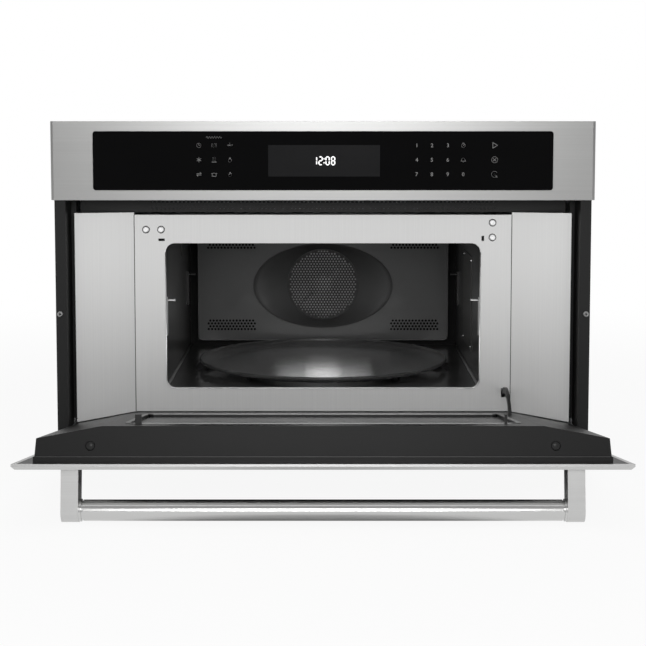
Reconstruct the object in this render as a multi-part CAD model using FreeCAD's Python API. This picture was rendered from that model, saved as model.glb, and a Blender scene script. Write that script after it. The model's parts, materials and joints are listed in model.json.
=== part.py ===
import FreeCAD, Part
import math
import os

V = FreeCAD.Vector

# Sizes are in millimetres. Depth runs back from the front face of the fascia.

# Face
FACE_W = 756.0
FACE_H = 496.0
FASCIA_H = 109.3
FASCIA_D = 22.0
FACE_BEVEL = 4.0
FACE_SHEET = 1.5
DOOR_GAP = 2.7
FIT = 0.3
OVERCUT = 1.0

# Chassis shell
BODY_MARGIN = 19.5
BODY_DROP = 12.0
BASE_SETBACK = 46.0
BASE_T = 1.5
BASE_FLANGE_H = 14.0
WRAP_T = 1.2
WRAP_GAP = 7.0
REAR_T = 1.5
REAR_ROOM = 19.3
LOWER_FASCIA_GAP = 3.0
LOWER_FASCIA_RISE = 5.0
LOWER_FASCIA_PLAY = 1.0
LOWER_FASCIA_FOOT = 12.0

# Control panel
GLASS_MARGIN_X = 59.0
GLASS_MARGIN_Z = 13.95
GLASS_T = 4.0
GLASS_SETBACK = 0.6
GLASS_R = 4.0
DISPLAY_W = 155.0
DISPLAY_H = 43.5
DISPLAY_X = 1.5
DISPLAY_BODY_D = 9.0
LENS_T = 1.0
CARRIER_MARGIN = 42.0
CARRIER_RISE = 5.3
CARRIER_WALL = 2.5
CARRIER_DEPTH = 80.0
BOARD_W = 330.0
BOARD_EDGE = 10.5
BOARD_T = 1.6
RELAY = (-97.0, 26.0, 30.0, 18.0)
DRIVER_CHIP = (-51.0, 18.0, 18.0, 6.0)
MAIN_CHIP = (35.0, 30.0, 30.0, 4.0)
SMALL_TRANSFORMER = (115.0, 40.0, 34.0, 24.0)

# Vent strip under the fascia
VENT_GAP = 2.0
VENT_CLEAR = 0.6
VENT_MARGIN = 6.0
VENT_T = 1.2
VENT_FLANGE = 16.0
VENT_SLOT_W = 56.0
VENT_SLOT_H = 3.4
VENT_SLOT_PITCH = 62.0
VENT_SLOT_EDGE = 96.0
VENT_ROW_RISE = 5.9
VENT_ROW_PITCH = 7.0
VENT_ROWS = 2

# Side frames that carry the mounting screws
FLANGE_DEPTH = 10.0
FLANGE_MARGIN = 3.0
FLANGE_T = 1.5
SIDE_FRAME_BOTTOM = 47.0
CHANNEL_PLAY = 0.6
CHANNEL_RISE = 6.0
MOUNT_EDGE = 5.8
MOUNT_RISE = 179.0
MOUNT_HOLE_R = 2.4

# Front frame of the cavity
FRAME_GAP = 1.6
FRAME_T = 1.2
FRAME_MARGIN = 109.0
FRAME_SIDE = 44.0
FRAME_SILL = 33.4
FRAME_HEAD = 40.6
FRAME_RISE = 13.0
FRAME_DROP = 21.4
FRAME_RETURN = 12.0
OPEN_R = 13.0
LIP_T = 1.2
LIP_PLAY = 0.8
LIP_DEPTH = 9.0
SCREW_HEAD_R = 4.5
SCREW_HEAD_T = 1.8
SCREW_R = 1.9
SCREW_LEN = 9.0

# Side panels between the front frame and the side frames
PANEL_T = 1.2
PANEL_PLAY = 1.7
PANEL_MARGIN = 6.5
PANEL_GAP = 1.8
PANEL_RISE = 3.4
PANEL_DROP = 2.0
PANEL_RETURN = 13.0

# Cavity
CAVITY_T = 1.5
BACK_RISE = 11.0
BACK_SHEET = 1.2
BACK_INSET_X = 13.5
BACK_INSET_LOW = 8.6
BACK_INSET_TOP = 8.0
BACK_R = 10.0
DISH_SHARE = 0.731
DISH_STRETCH = 47.0
DISH_DROP = 4.5
DISH_D = 22.0
DISH_SIDES = 28
DISC_SHARE = 0.847
DISC_SEAT = 3.0
DISC_T = 1.2
DISC_HOLE_R = 6.4
DISC_PITCH = 18.4
FIELD_EDGE = 57.5
FIELD_LOW = 26.6
FIELD_HIGH = 30.6
FIELD_W = 83.0
FIELD_H = 15.5
BRACKET_INSET = 13.5
BRACKET_W = 16.0
BRACKET_FRONT_GAP = 65.0
BRACKET_BACK_GAP = 55.0

# Rack supports
RACK_FRONT_GAP = 15.0
RACK_BACK_GAP = 55.0
RACK_RISE = 21.3
RACK_PIN_LEN = 14.0
RACK_PIN_R = 2.0
RACK_WIRE_R = 1.6
RACK_WIRE_DROP = 51.5
RACK_WIRE_RISE = 4.5

# Wave guide on the right wall
GUIDE_AHEAD = 65.0
GUIDE_BEHIND = 55.0
GUIDE_SHARE = 0.6227
GUIDE_SINK = 0.7
GUIDE_EDGE = 14.0
GUIDE_W = 44.0
GUIDE_T = 1.2
COVER_EDGE = 6.0
COVER_T = 1.2

# Inner works
MAGNETRON_W = 68.0
MAGNETRON_D = 92.0
MAGNETRON_H = 78.0
MAGNETRON_PLATE = 3.0
MAGNETRON_CORE_R = 20.0
FIN_COUNT = 6
FIN_T = 1.2
FIN_INSET = 4.0
TRANSFORMER_W = 88.0
TRANSFORMER_D = 100.0
TRANSFORMER_H = 74.0
TRANSFORMER_COIL = 12.0
TRANSFORMER_FOOT = 2.0
TRANSFORMER_GAP = 52.5
CAPACITOR_W = 34.0
CAPACITOR_D = 92.0
CAPACITOR_H = 56.0
CAPACITOR_GAP = 10.0
TERMINAL_W = 6.0
TERMINAL_T = 1.2
TERMINAL_H = 10.0
FAN_GAP = 4.7
FAN_TIP_GAP = 7.0
FAN_REAR_GAP = 14.3
FAN_BLADE_H = 16.0
FAN_BLADE_T = 2.0
FAN_BLADES = 8
FAN_HUB_R = 14.0
FAN_SHAFT_R = 4.0
FAN_BORE_PLAY = 1.0
FAN_BOX_SIDE = 72.0
FAN_BOX_EDGE = 14.0
FAN_MOTOR_R = 34.0
FAN_MOTOR_D = 26.0
FAN_EAR = 12.0
FAN_EAR_T = 3.0
SHAFT_PLAY = 0.05
HEATER_GAP = 10.0
HEATER_TUBE_R = 3.2
HEATER_LEAD_X = 9.6
HEATER_SEGMENTS = 20
HEATER_SIDES = 6
BLOWER_Z = 190.0
BLOWER_D = 34.0
BLOWER_R = 42.0
BLOWER_TIP_GAP = 3.0
BLOWER_WALL = 5.0
BLOWER_BLADES = 7
BLOWER_BLADE_T = 1.5
BLOWER_CHORD = 18.0
BLOWER_PITCH = 30.0
BLOWER_HUB_R = 15.0
BLOWER_SHAFT_R = 3.0
BLOWER_MOTOR_D = 12.0
BLOWER_GAP = 1.0
BLOWER_BACK_GAP = 5.0
BLOWER_ARM_W = 6.0
BLOWER_ARM_T = 4.0
SLAT_PITCH = 11.0
SLAT_H = 6.0
LAMP_BEHIND = 65.0
LAMP_DROP = 34.0
LAMP_R = 13.0
LAMP_WALL = 5.0
LAMP_LEN = 46.0
LAMP_BASE = 12.0
BULB_R = 7.0
BULB_GAP = 10.0
GLAND_SHIFT = 13.5
GLAND_Z = 60.0
GLAND_R = 10.0
GLAND_BORE_R = 4.5
GLAND_NUT_R = 15.0
GLAND_NUT_T = 8.0
GLAND_CAP_R = 13.0
GLAND_CAP_T = 12.0

# Turntable
TRAY_CLEAR = 33.0
TRAY_FRONT_GAP = 12.0
TRAY_BACK_GAP = 12.0
TRAY_T = 4.0
TRAY_RIM_W = 26.0
TRAY_RISE = 14.6
TRAY_LIFT = 0.3
RECESS_CLEAR = 4.0
RECESS_D = 12.0
ROLLER_R = 7.0
ROLLER_W = 6.0
ROLLER_SHARE = 0.67
RING_GAP = 13.0
RING_W = 8.0
RING_H = 4.0
AXLE_R = 1.8
AXLE_PLAY = 0.1
AXLE_CAP_R = 2.9
AXLE_CAP_T = 1.5
AXLE_SPARE = 2.0
COUPLER_R = 15.0
COUPLER_HUB_R = 9.0
COUPLER_LOBE_W = 7.0
COUPLER_GAP = 1.0
DRIVE_R = 4.0
DRIVE_PLAY = 1.0
DRIVE_MOTOR_R = 26.0
DRIVE_MOTOR_H = 22.0
DRIVE_EAR = 9.0
DRIVE_EAR_W = 16.0
DRIVE_EAR_T = 2.0
DRIVE_END = 4.0

# Door, drawn shut and then swung open about the pivot
OPEN_ANGLE = 81.6
PIVOT_DEPTH = 25.0
PIVOT_Z = 54.3
SKIN_T = 7.0
SKIN_BELOW = 34.0
SKIN_BEVEL = 4.0
SKIN_WALL = 6.0
WINDOW_MARGIN = 110.0
WINDOW_RISE = 87.7
WINDOW_DROP = 68.0
WINDOW_R = 12.0
WINDOW_LAP = 12.0
WINDOW_T = 3.8
LINER_BELOW = 25.0
LINER_DROP = 14.0
LINER_PLAY = 2.0
LINER_RIM_D = 8.0
LINER_STEP = 1.5
LINER_DRAFT = 3.5
LINER_SIDE_D = 30.2
LINER_D = 45.2
LINER_LAP = 1.0
LINER_WALL = 3.0
LINER_FLANGE_T = 1.5
DIMPLE_INSET = 14.0
DIMPLE_DEPTH = 21.0
DIMPLE_R = 6.0
DIMPLE_D = 1.6
TRIM_LAP = 24.0
TRIM_LAP_LOW = 24.4
TRIM_LAP_TOP = 3.0
TRIM_W = 6.0
TRIM_T = 1.2
TRIM_R = 14.0
INNER_GLASS_LAP = 7.0
INNER_GLASS_T = 4.0
SCREEN_T = 1.2
SCREEN_SLOT = 8.0
SCREEN_PITCH = 32.0
SCREEN_EDGE = 18.0

# Door latches and their switches
HOOK_LEN = 11.8
HOOK_GAP = 1.0
HOOK_LEFT_X = 5.5
HOOK_LEFT_W = 8.2
HOOK_LEFT_H = 1.8
HOOK_RIGHT_X = 3.2
HOOK_RIGHT_W = 2.8
HOOK_RIGHT_H = 5.6
HOOK_PLAY_X = 0.4
HOOK_PLAY_Z = 0.9
PLUNGER_R = 1.9
PLUNGER_LEN = 25.0
PLUNGER_GAP = 1.0
PLUNGER_NOSE = 4.0
SWITCH_W = 18.0
SWITCH_H = 14.0
SWITCH_D = 28.0
SWITCH_WALL = 1.5

# Hinges
HINGE_T = 3.0
HINGE_REACH = 42.0
HINGE_BELOW = 8.3
HINGE_ABOVE = 7.7
HINGE_NOSE = 12.0
PIN_R = 4.5
PIN_REACH = 15.0
BUSH_R = 8.0
BUSH_LEN = 7.0
BUSH_PLAY = 2.9
ARM_INSET = 9.0
ARM_T = 4.0
ARM_IN_R = 56.0
ARM_W = 8.0
ARM_TAIL = -29.6
ARM_SLOT_PLAY = 1.5

# Handle
BAR_R = 13.0
BAR_STANDOFF = 52.5
BAR_DROP = 40.0
COLLAR_R = 13.8
COLLAR_W = 3.0
NECK_R = 11.6
NECK_W = 2.4
SPIGOT_R = 8.0
SPIGOT_LEN = 12.0
POST_MARGIN = 78.0
POST_W = 21.5
POST_HALF = 14.5
POST_SCREW_R = 2.5
POST_SCREW_HEAD_R = 4.6
POST_SCREW_HEAD_T = 2.4
POST_SCREW_LEN = 22.0
POST_SCREW_PITCH = 15.0

# Sides of the facets that stand for small, middling and large rounds
SMALL_SIDES = 8
MIDDLE_SIDES = 12
LARGE_SIDES = 32

# Places across the width
FACE_HALF = FACE_W / 2
GLASS_W = FACE_W - 2 * GLASS_MARGIN_X
CARRIER_HALF = FACE_HALF - CARRIER_MARGIN
BODY_HALF = FACE_HALF - BODY_MARGIN
FLANGE_OUT = FACE_HALF - FLANGE_MARGIN
MOUNT_X = FLANGE_OUT - MOUNT_EDGE
PANEL_OUT = BODY_HALF - PANEL_MARGIN
CHANNEL_IN = PANEL_OUT + CHANNEL_PLAY
VENT_HALF = PANEL_OUT - VENT_MARGIN
FRAME_HALF = FACE_HALF - FRAME_MARGIN
PANEL_IN = FRAME_HALF + PANEL_PLAY
OPEN_HALF = FRAME_HALF - FRAME_SIDE
CAVITY_HALF = OPEN_HALF + LIP_T + LIP_PLAY
WALL_OUT = CAVITY_HALF + CAVITY_T
SIDE_MID = (WALL_OUT + BODY_HALF) / 2
BACK_HALF = CAVITY_HALF - BACK_INSET_X
BRACKET_X = WALL_OUT - BRACKET_INSET
TRAY_R = CAVITY_HALF - TRAY_CLEAR
TRAY_FLAT_R = TRAY_R - TRAY_RIM_W
RECESS_R = TRAY_R + RECESS_CLEAR
ROLLER_PATH_R = TRAY_R * ROLLER_SHARE
RING_R = ROLLER_PATH_R - RING_GAP - ROLLER_W / 2
HINGE_IN = BODY_HALF - HINGE_T
BUSH_OUT = HINGE_IN - BUSH_PLAY
LINER_RIM_HALF = HINGE_IN - LINER_PLAY
LINER_SIDE_HALF = LINER_RIM_HALF - LINER_DRAFT
LINER_FLAT_HALF = FRAME_HALF + LINER_LAP
DIMPLE_X = LINER_FLAT_HALF + DIMPLE_INSET
TRIM_HALF = OPEN_HALF + TRIM_LAP
WINDOW_HALF = FACE_HALF - WINDOW_MARGIN
ARM_X = FRAME_HALF - ARM_INSET
POST_IN = FACE_HALF - POST_MARGIN
GLAND_X = GLAND_SHIFT - SIDE_MID

# Places up the height
FASCIA_BOTTOM = FACE_H - FASCIA_H
FASCIA_MID = FACE_H - FASCIA_H / 2
GLASS_H = FASCIA_H - 2 * GLASS_MARGIN_Z
BODY_TOP = FACE_H - BODY_DROP
CARRIER_BOTTOM = FASCIA_BOTTOM + CARRIER_RISE
BOARD_H = BODY_TOP - CARRIER_BOTTOM - 2 * (CARRIER_WALL + BOARD_EDGE)
DOOR_TOP = FASCIA_BOTTOM - DOOR_GAP
DOOR_BOTTOM = PIVOT_Z - SKIN_BELOW
HINGE_BOTTOM = PIVOT_Z - HINGE_BELOW
HINGE_TOP = PIVOT_Z + HINGE_ABOVE
CHANNEL_BOTTOM = HINGE_TOP + CHANNEL_RISE
PANEL_BOTTOM_OUT = CHANNEL_BOTTOM - PANEL_DROP
FRAME_BOTTOM = PANEL_BOTTOM_OUT + FRAME_RISE
FRAME_TOP = DOOR_TOP - FRAME_DROP
LOWER_FASCIA_TOP = FRAME_BOTTOM + LOWER_FASCIA_RISE
PANEL_TOP = FRAME_TOP + PANEL_RISE
VENT_BOTTOM = PANEL_TOP + VENT_CLEAR
OPEN_BOTTOM = FRAME_BOTTOM + FRAME_SILL
OPEN_TOP = FRAME_TOP - FRAME_HEAD
CAVITY_FLOOR = OPEN_BOTTOM - LIP_T - LIP_PLAY
CAVITY_TOP = OPEN_TOP + LIP_T + LIP_PLAY
CEILING_OUT = CAVITY_TOP + CAVITY_T
BACK_BOTTOM = CAVITY_FLOOR + BACK_INSET_LOW
BACK_TOP = CAVITY_TOP - BACK_INSET_TOP
BACK_MID = (BACK_BOTTOM + BACK_TOP) / 2
DISH_Z = BACK_MID - DISH_DROP
DISH_HALF_H = (BACK_TOP - BACK_BOTTOM) / 2 * DISH_SHARE
DISH_HALF_W = DISH_HALF_H + DISH_STRETCH
DISC_R = DISH_HALF_H * DISC_SHARE
FAN_R = DISC_R + FAN_TIP_GAP
HEATER_R = FAN_R + HEATER_GAP
FAN_BOX_HALF = HEATER_R + FAN_BOX_SIDE
FAN_BOX_HALF_H = HEATER_R + FAN_BOX_EDGE
RACK_Z = (CAVITY_FLOOR + CAVITY_TOP) / 2 + RACK_RISE
GUIDE_H = (CAVITY_TOP - CAVITY_FLOOR) * GUIDE_SHARE
GUIDE_BOTTOM = (CAVITY_FLOOR + CAVITY_TOP - GUIDE_H) / 2 - GUIDE_SINK
GUIDE_TOP = GUIDE_BOTTOM + GUIDE_H
LAMP_Z = CAVITY_TOP - LAMP_DROP
MOUNT_Z = SIDE_FRAME_BOTTOM + MOUNT_RISE
RECESS_Z = CAVITY_FLOOR - RECESS_D
RECESS_UNDER = RECESS_Z - CAVITY_T
ROLLER_Z = RECESS_Z + ROLLER_R
TRAY_UNDER = RECESS_Z + 2 * ROLLER_R + TRAY_LIFT
TRAY_RIM_Z = CAVITY_FLOOR + TRAY_RISE
LINER_TOP = DOOR_TOP - LINER_DROP
LINER_BOTTOM = PIVOT_Z - LINER_BELOW
WINDOW_BOTTOM = DOOR_BOTTOM + WINDOW_RISE
WINDOW_TOP = DOOR_TOP - WINDOW_DROP
TRIM_BOTTOM = OPEN_BOTTOM - TRIM_LAP_LOW
TRIM_TOP = OPEN_TOP + TRIM_LAP_TOP
HOOK_LOW = TRIM_TOP + HOOK_GAP
PLUNGER_Z = CEILING_OUT + PLUNGER_R + SWITCH_WALL
BAR_Z = DOOR_TOP - BAR_DROP

# Places through the depth
GLASS_BACK = GLASS_SETBACK + GLASS_T
PLATEAU = SKIN_T + LINER_D
HOOK_TIP = PLATEAU + HOOK_LEN
FRAME_DEPTH = PLATEAU + TRIM_T + FRAME_GAP
FRAME_BACK = FRAME_DEPTH + FRAME_T
PANEL_OUT_DEPTH = SKIN_T + LINER_SIDE_D + PANEL_GAP
VENT_DEPTH = FRAME_DEPTH + VENT_GAP
WRAP_FRONT = FRAME_DEPTH + WRAP_GAP
HINGE_BACK = WRAP_FRONT + HINGE_REACH
LOWER_FASCIA_DEPTH = FRAME_DEPTH + FRAME_RETURN + LOWER_FASCIA_GAP
TRAY_DEPTH = FRAME_DEPTH + TRAY_FRONT_GAP + RECESS_R
CAVITY_BACK = TRAY_DEPTH + RECESS_R + TRAY_BACK_GAP
BACK_FLANGE = CAVITY_BACK + BACK_RISE
BACK_REAR = BACK_FLANGE + BACK_SHEET
DISH_FLOOR = CAVITY_BACK + DISH_D
FAN_FRONT = DISH_FLOOR + BACK_SHEET + FAN_GAP
FAN_BACK = FAN_FRONT + FAN_BLADE_H
FAN_BOX_REAR = FAN_BACK + FAN_REAR_GAP
HEATER_DEPTH = FAN_BOX_REAR - BACK_SHEET - 4 * HEATER_TUBE_R
REAR_IN = FAN_BOX_REAR + FAN_MOTOR_D + REAR_ROOM
BODY_BACK = REAR_IN + REAR_T
BASE_D = BODY_BACK - BASE_SETBACK
FRONT_Y = -(BASE_SETBACK + BASE_D / 2)
BLOWER_FRONT = REAR_IN - BLOWER_D
BLOWER_HALF = BLOWER_R + BLOWER_TIP_GAP + BLOWER_WALL
TRANSFORMER_BACK = BLOWER_FRONT - TRANSFORMER_GAP - TRANSFORMER_COIL
TRANSFORMER_FRONT = TRANSFORMER_BACK - TRANSFORMER_D
CAPACITOR_BACK = TRANSFORMER_FRONT - TRANSFORMER_COIL - CAPACITOR_GAP
BRACKET_FRONT = FRAME_DEPTH + BRACKET_FRONT_GAP
BRACKET_BACK = CAVITY_BACK - BRACKET_BACK_GAP
RACK_DEPTHS = (FRAME_DEPTH + RACK_FRONT_GAP, CAVITY_BACK - RACK_BACK_GAP)
GUIDE_FRONT = TRAY_DEPTH - GUIDE_AHEAD
GUIDE_BACK = TRAY_DEPTH + GUIDE_BEHIND
LAMP_DEPTH = TRAY_DEPTH + LAMP_BEHIND


def box(x0, x1, d0, d1, z0, z1):
    size = V(x1 - x0, d1 - d0, z1 - z0)
    return Part.makeBox(size.x, size.y, size.z, V(x0, FRONT_Y + d0, z0))


def rod_x(r, x0, x1, d, z):
    return Part.makeCylinder(r, x1 - x0, V(x0, FRONT_Y + d, z), V(1, 0, 0))


def rod_y(r, d0, d1, x, z):
    return Part.makeCylinder(r, d1 - d0, V(x, FRONT_Y + d0, z), V(0, 1, 0))


def rod_z(r, z0, z1, x, d):
    return Part.makeCylinder(r, z1 - z0, V(x, FRONT_Y + d, z0), V(0, 0, 1))


def ngon(sides, r):
    """Corners of a regular outline whose flats lie r from its middle."""
    reach = r / math.cos(math.pi / sides)
    angles = [2 * math.pi * (k + 0.5) / sides for k in range(sides)]
    return [(reach * math.cos(a), reach * math.sin(a)) for a in angles]


def prism_x(sides, r, x0, x1, d, z):
    return profile([(d + a, z + b) for a, b in ngon(sides, r)], x0, x1)


def prism_y(sides, r, d0, d1, x, z):
    return front_shape([(x + a, z + b) for a, b in ngon(sides, r)], d0, d1)


def prism_z(sides, r, z0, z1, x, d):
    return plan([(x + a, d + b) for a, b in ngon(sides, r)], z0, z1)


def closed_face(points):
    return Part.Face(Part.makePolygon(points + [points[0]]))


def stacked(rings):
    """Solid between rings that have the same count of corners."""
    faces = [closed_face(rings[0]), closed_face(rings[-1])]
    for low, high in zip(rings, rings[1:]):
        for k in range(len(low)):
            n = (k + 1) % len(low)
            faces.append(closed_face([low[k], low[n], high[k]]))
            faces.append(closed_face([low[n], high[n], high[k]]))
    return Part.makeSolid(Part.makeShell(faces))


def plan(points, z0, z1):
    face = closed_face([V(x, FRONT_Y + d, z0) for x, d in points])
    return face.extrude(V(0, 0, z1 - z0))


def profile(points, x0, x1):
    face = closed_face([V(x0, FRONT_Y + d, z) for d, z in points])
    return face.extrude(V(x1 - x0, 0, 0))


def front_shape(points, d0, d1):
    face = closed_face([V(x, FRONT_Y + d0, z) for x, z in points])
    return face.extrude(V(0, d1 - d0, 0))


def soft_plate(x0, x1, d0, d1, z0, z1, r):
    plate = box(x0, x1, d0, d1, z0, z1)
    corners = [e for e in plate.Edges if abs(e.Vertexes[0].Y - e.Vertexes[-1].Y) > 1e-6]
    return plate.makeFillet(r, corners)


def strip(points, t):
    """Plan outline of a bent sheet whose outer side runs through the points."""
    inner = []
    for i, p in enumerate(points):
        here = V(p[0], p[1], 0)
        ways = []
        if i > 0:
            ways.append((here - V(points[i - 1][0], points[i - 1][1], 0)).normalize())
        if i < len(points) - 1:
            ways.append((V(points[i + 1][0], points[i + 1][1], 0) - here).normalize())
        sides = [V(-w.y, w.x, 0) for w in ways]
        if len(sides) == 1:
            step = sides[0] * t
        else:
            step = (sides[0] + sides[1]) * (t / (1 + sides[0].dot(sides[1])))
        inner.append((here.x + step.x, here.y + step.y))
    return list(points) + inner[::-1]


def mirror_x(shape):
    return shape.mirror(V(0, 0, 0), V(1, 0, 0))


def fuse(shapes):
    whole = shapes[0].multiFuse(shapes[1:])
    return whole.removeSplitter()


def swing(shape):
    return shape.rotate(V(0, FRONT_Y + PIVOT_DEPTH, PIVOT_Z), V(1, 0, 0), OPEN_ANGLE)


def control_fascia():
    outline = [
        (-FACE_HALF, FASCIA_D),
        (-FACE_HALF, FACE_BEVEL),
        (-FACE_HALF + FACE_BEVEL, 0),
        (FACE_HALF - FACE_BEVEL, 0),
        (FACE_HALF, FACE_BEVEL),
        (FACE_HALF, FASCIA_D),
    ]
    block = plan(outline, FASCIA_BOTTOM, FACE_H)
    low = FASCIA_BOTTOM + FACE_SHEET
    inside = box(-FACE_HALF, FACE_HALF, FACE_SHEET, FASCIA_D, low, FACE_H - FACE_SHEET)
    core = plan(
        [
            (-FACE_HALF + FACE_SHEET, FASCIA_D),
            (-FACE_HALF + FACE_SHEET, FACE_BEVEL + FACE_SHEET / 2),
            (-FACE_HALF + FACE_BEVEL + FACE_SHEET / 2, FACE_SHEET),
            (FACE_HALF - FACE_BEVEL - FACE_SHEET / 2, FACE_SHEET),
            (FACE_HALF - FACE_SHEET, FACE_BEVEL + FACE_SHEET / 2),
            (FACE_HALF - FACE_SHEET, FASCIA_D),
        ],
        low,
        FACE_H - FACE_SHEET,
    )
    half_w = GLASS_W / 2 + FIT
    half_h = GLASS_H / 2 + FIT
    window = soft_plate(
        -half_w, half_w, -OVERCUT, FASCIA_D, FASCIA_MID - half_h, FASCIA_MID + half_h, GLASS_R
    )
    return block.cut(core.common(inside)).cut(window)


def lens_pocket(play):
    half_w = DISPLAY_W / 2 + play
    half_h = DISPLAY_H / 2 + play
    return box(
        DISPLAY_X - half_w,
        DISPLAY_X + half_w,
        GLASS_SETBACK,
        GLASS_SETBACK + LENS_T,
        FASCIA_MID - half_h,
        FASCIA_MID + half_h,
    )


def control_glass():
    half = GLASS_H / 2
    glass = soft_plate(
        -GLASS_W / 2,
        GLASS_W / 2,
        GLASS_SETBACK,
        GLASS_BACK,
        FASCIA_MID - half,
        FASCIA_MID + half,
        GLASS_R,
    )
    return glass.cut(lens_pocket(FIT / 3))


def display_body(play):
    half_h = DISPLAY_H / 2 + play
    half_w = DISPLAY_W / 2 + play
    return box(
        DISPLAY_X - half_w,
        DISPLAY_X + half_w,
        GLASS_BACK,
        GLASS_BACK + DISPLAY_BODY_D,
        FASCIA_MID - half_h,
        FASCIA_MID + half_h,
    )


def control_carrier():
    half = CARRIER_HALF
    block = box(-half, half, GLASS_BACK, CARRIER_DEPTH, CARRIER_BOTTOM, BODY_TOP)
    hollow = box(
        -half + CARRIER_WALL,
        half - CARRIER_WALL,
        GLASS_BACK + CARRIER_WALL,
        CARRIER_DEPTH,
        CARRIER_BOTTOM + CARRIER_WALL,
        BODY_TOP - CARRIER_WALL,
    )
    return block.cut(hollow).cut(display_body(FIT))


def control_board():
    front = GLASS_BACK + DISPLAY_BODY_D
    back = front + BOARD_T
    half = BOARD_H / 2
    sheet = box(-BOARD_W / 2, BOARD_W / 2, front, back, FASCIA_MID - half, FASCIA_MID + half)
    pieces = [sheet, display_body(0)]
    for x, w, h, d in (RELAY, DRIVER_CHIP, MAIN_CHIP, SMALL_TRANSFORMER):
        low = FASCIA_MID - h / 2
        pieces.append(box(x - w / 2, x + w / 2, back, back + d, low, low + h))
    return fuse(pieces)


def vent_grille():
    back = VENT_DEPTH + VENT_T
    plate = box(-VENT_HALF, VENT_HALF, VENT_DEPTH, back, VENT_BOTTOM, CARRIER_BOTTOM)
    top = CARRIER_BOTTOM - VENT_T
    flange = box(
        -VENT_HALF, VENT_HALF, VENT_DEPTH, VENT_DEPTH + VENT_FLANGE, top, CARRIER_BOTTOM
    )
    body = fuse([plate, flange])
    count = int(2 * (VENT_HALF - VENT_SLOT_EDGE) / VENT_SLOT_PITCH)
    half_w = VENT_SLOT_W / 2
    half_h = VENT_SLOT_H / 2
    slots = []
    for row in range(VENT_ROWS):
        z = VENT_BOTTOM + VENT_ROW_RISE + row * VENT_ROW_PITCH
        for i in range(count):
            x = (i - (count - 1) / 2) * VENT_SLOT_PITCH
            slots.append(box(x - half_w, x + half_w, VENT_DEPTH, back, z - half_h, z + half_h))
    return body.cut(Part.makeCompound(slots))


def side_frame_right():
    inner = BODY_HALF + WRAP_T
    top = FASCIA_BOTTOM - FIT
    back = FLANGE_DEPTH + FLANGE_T
    flange = box(inner, FLANGE_OUT, FLANGE_DEPTH, back, SIDE_FRAME_BOTTOM, top)
    wall = box(inner, inner + FLANGE_T, FLANGE_DEPTH, WRAP_FRONT, SIDE_FRAME_BOTTOM, top)
    web = box(
        CHANNEL_IN, inner + FLANGE_T, WRAP_FRONT - FLANGE_T, WRAP_FRONT, CHANNEL_BOTTOM, top
    )
    hole = rod_y(MOUNT_HOLE_R, FLANGE_DEPTH, back, MOUNT_X, MOUNT_Z)
    return fuse([flange, wall, web]).cut(hole)


def slot_cut(spot, d0, d1):
    x, z, w, h = spot
    return box(x - w / 2, x + w / 2, d0, d1, z - h / 2, z + h / 2)


def arm_slot():
    reach = FRAME_DEPTH - PIVOT_DEPTH
    deep = reach + FRAME_T
    out_r = ARM_IN_R + ARM_W
    low = PIVOT_Z + math.sqrt(ARM_IN_R**2 - deep**2) - ARM_SLOT_PLAY
    high = PIVOT_Z + math.sqrt(out_r**2 - reach**2) + ARM_SLOT_PLAY
    half = ARM_T / 2 + ARM_SLOT_PLAY
    return box(ARM_X - half, ARM_X + half, FRAME_DEPTH, FRAME_BACK, low, high)


def screw_spots():
    """Two screws beside the left latch and two beside the right one."""
    left_z = OPEN_TOP + FRAME_HEAD * 0.48
    return [
        (-OPEN_HALF - FRAME_SIDE * 0.63, left_z),
        (-OPEN_HALF - FRAME_SIDE * 0.14, left_z),
        (OPEN_HALF + FRAME_SIDE * 0.386, OPEN_TOP + FRAME_HEAD * 0.724),
        (OPEN_HALF + FRAME_SIDE * 0.386, OPEN_TOP + FRAME_HEAD * 0.204),
    ]


def hook_spots():
    """Middle, width and height of the left and right latch hooks."""
    left_z = HOOK_LOW + HOOK_LEFT_H / 2
    right_z = HOOK_LOW + HOOK_RIGHT_H / 2
    return [
        (-OPEN_HALF - HOOK_LEFT_X, left_z, HOOK_LEFT_W, HOOK_LEFT_H),
        (OPEN_HALF + HOOK_RIGHT_X, right_z, HOOK_RIGHT_W, HOOK_RIGHT_H),
    ]


def slot_spots():
    """Slots that the latch hooks enter."""
    spots = []
    for x, z, w, h in hook_spots():
        spots.append((x, z, w + 2 * HOOK_PLAY_X, h + 2 * HOOK_PLAY_Z))
    return spots


def front_frame():
    back = FRAME_DEPTH + FRAME_RETURN
    block = box(-FRAME_HALF, FRAME_HALF, FRAME_DEPTH, back, FRAME_BOTTOM, FRAME_TOP)
    inner = FRAME_HALF - FRAME_T
    hollow = box(-inner, inner, FRAME_BACK, back, FRAME_BOTTOM, FRAME_TOP - FRAME_T)
    shell = block.cut(hollow)
    lip_half = OPEN_HALF + LIP_T
    lip = soft_plate(
        -lip_half,
        lip_half,
        FRAME_DEPTH,
        FRAME_DEPTH + LIP_DEPTH,
        OPEN_BOTTOM - LIP_T,
        OPEN_TOP + LIP_T,
        OPEN_R + LIP_T,
    )
    opening = soft_plate(
        -OPEN_HALF, OPEN_HALF, FRAME_DEPTH - OVERCUT, back, OPEN_BOTTOM, OPEN_TOP, OPEN_R
    )
    frame = fuse([shell, lip]).cut(opening)
    cuts = [arm_slot()]
    for spot in slot_spots():
        cuts.append(slot_cut(spot, FRAME_DEPTH, FRAME_BACK))
    for x, z in screw_spots():
        cuts.append(prism_y(SMALL_SIDES, SCREW_R, FRAME_DEPTH, FRAME_BACK, x, z))
    return frame.cut(Part.makeCompound(cuts))


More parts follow.
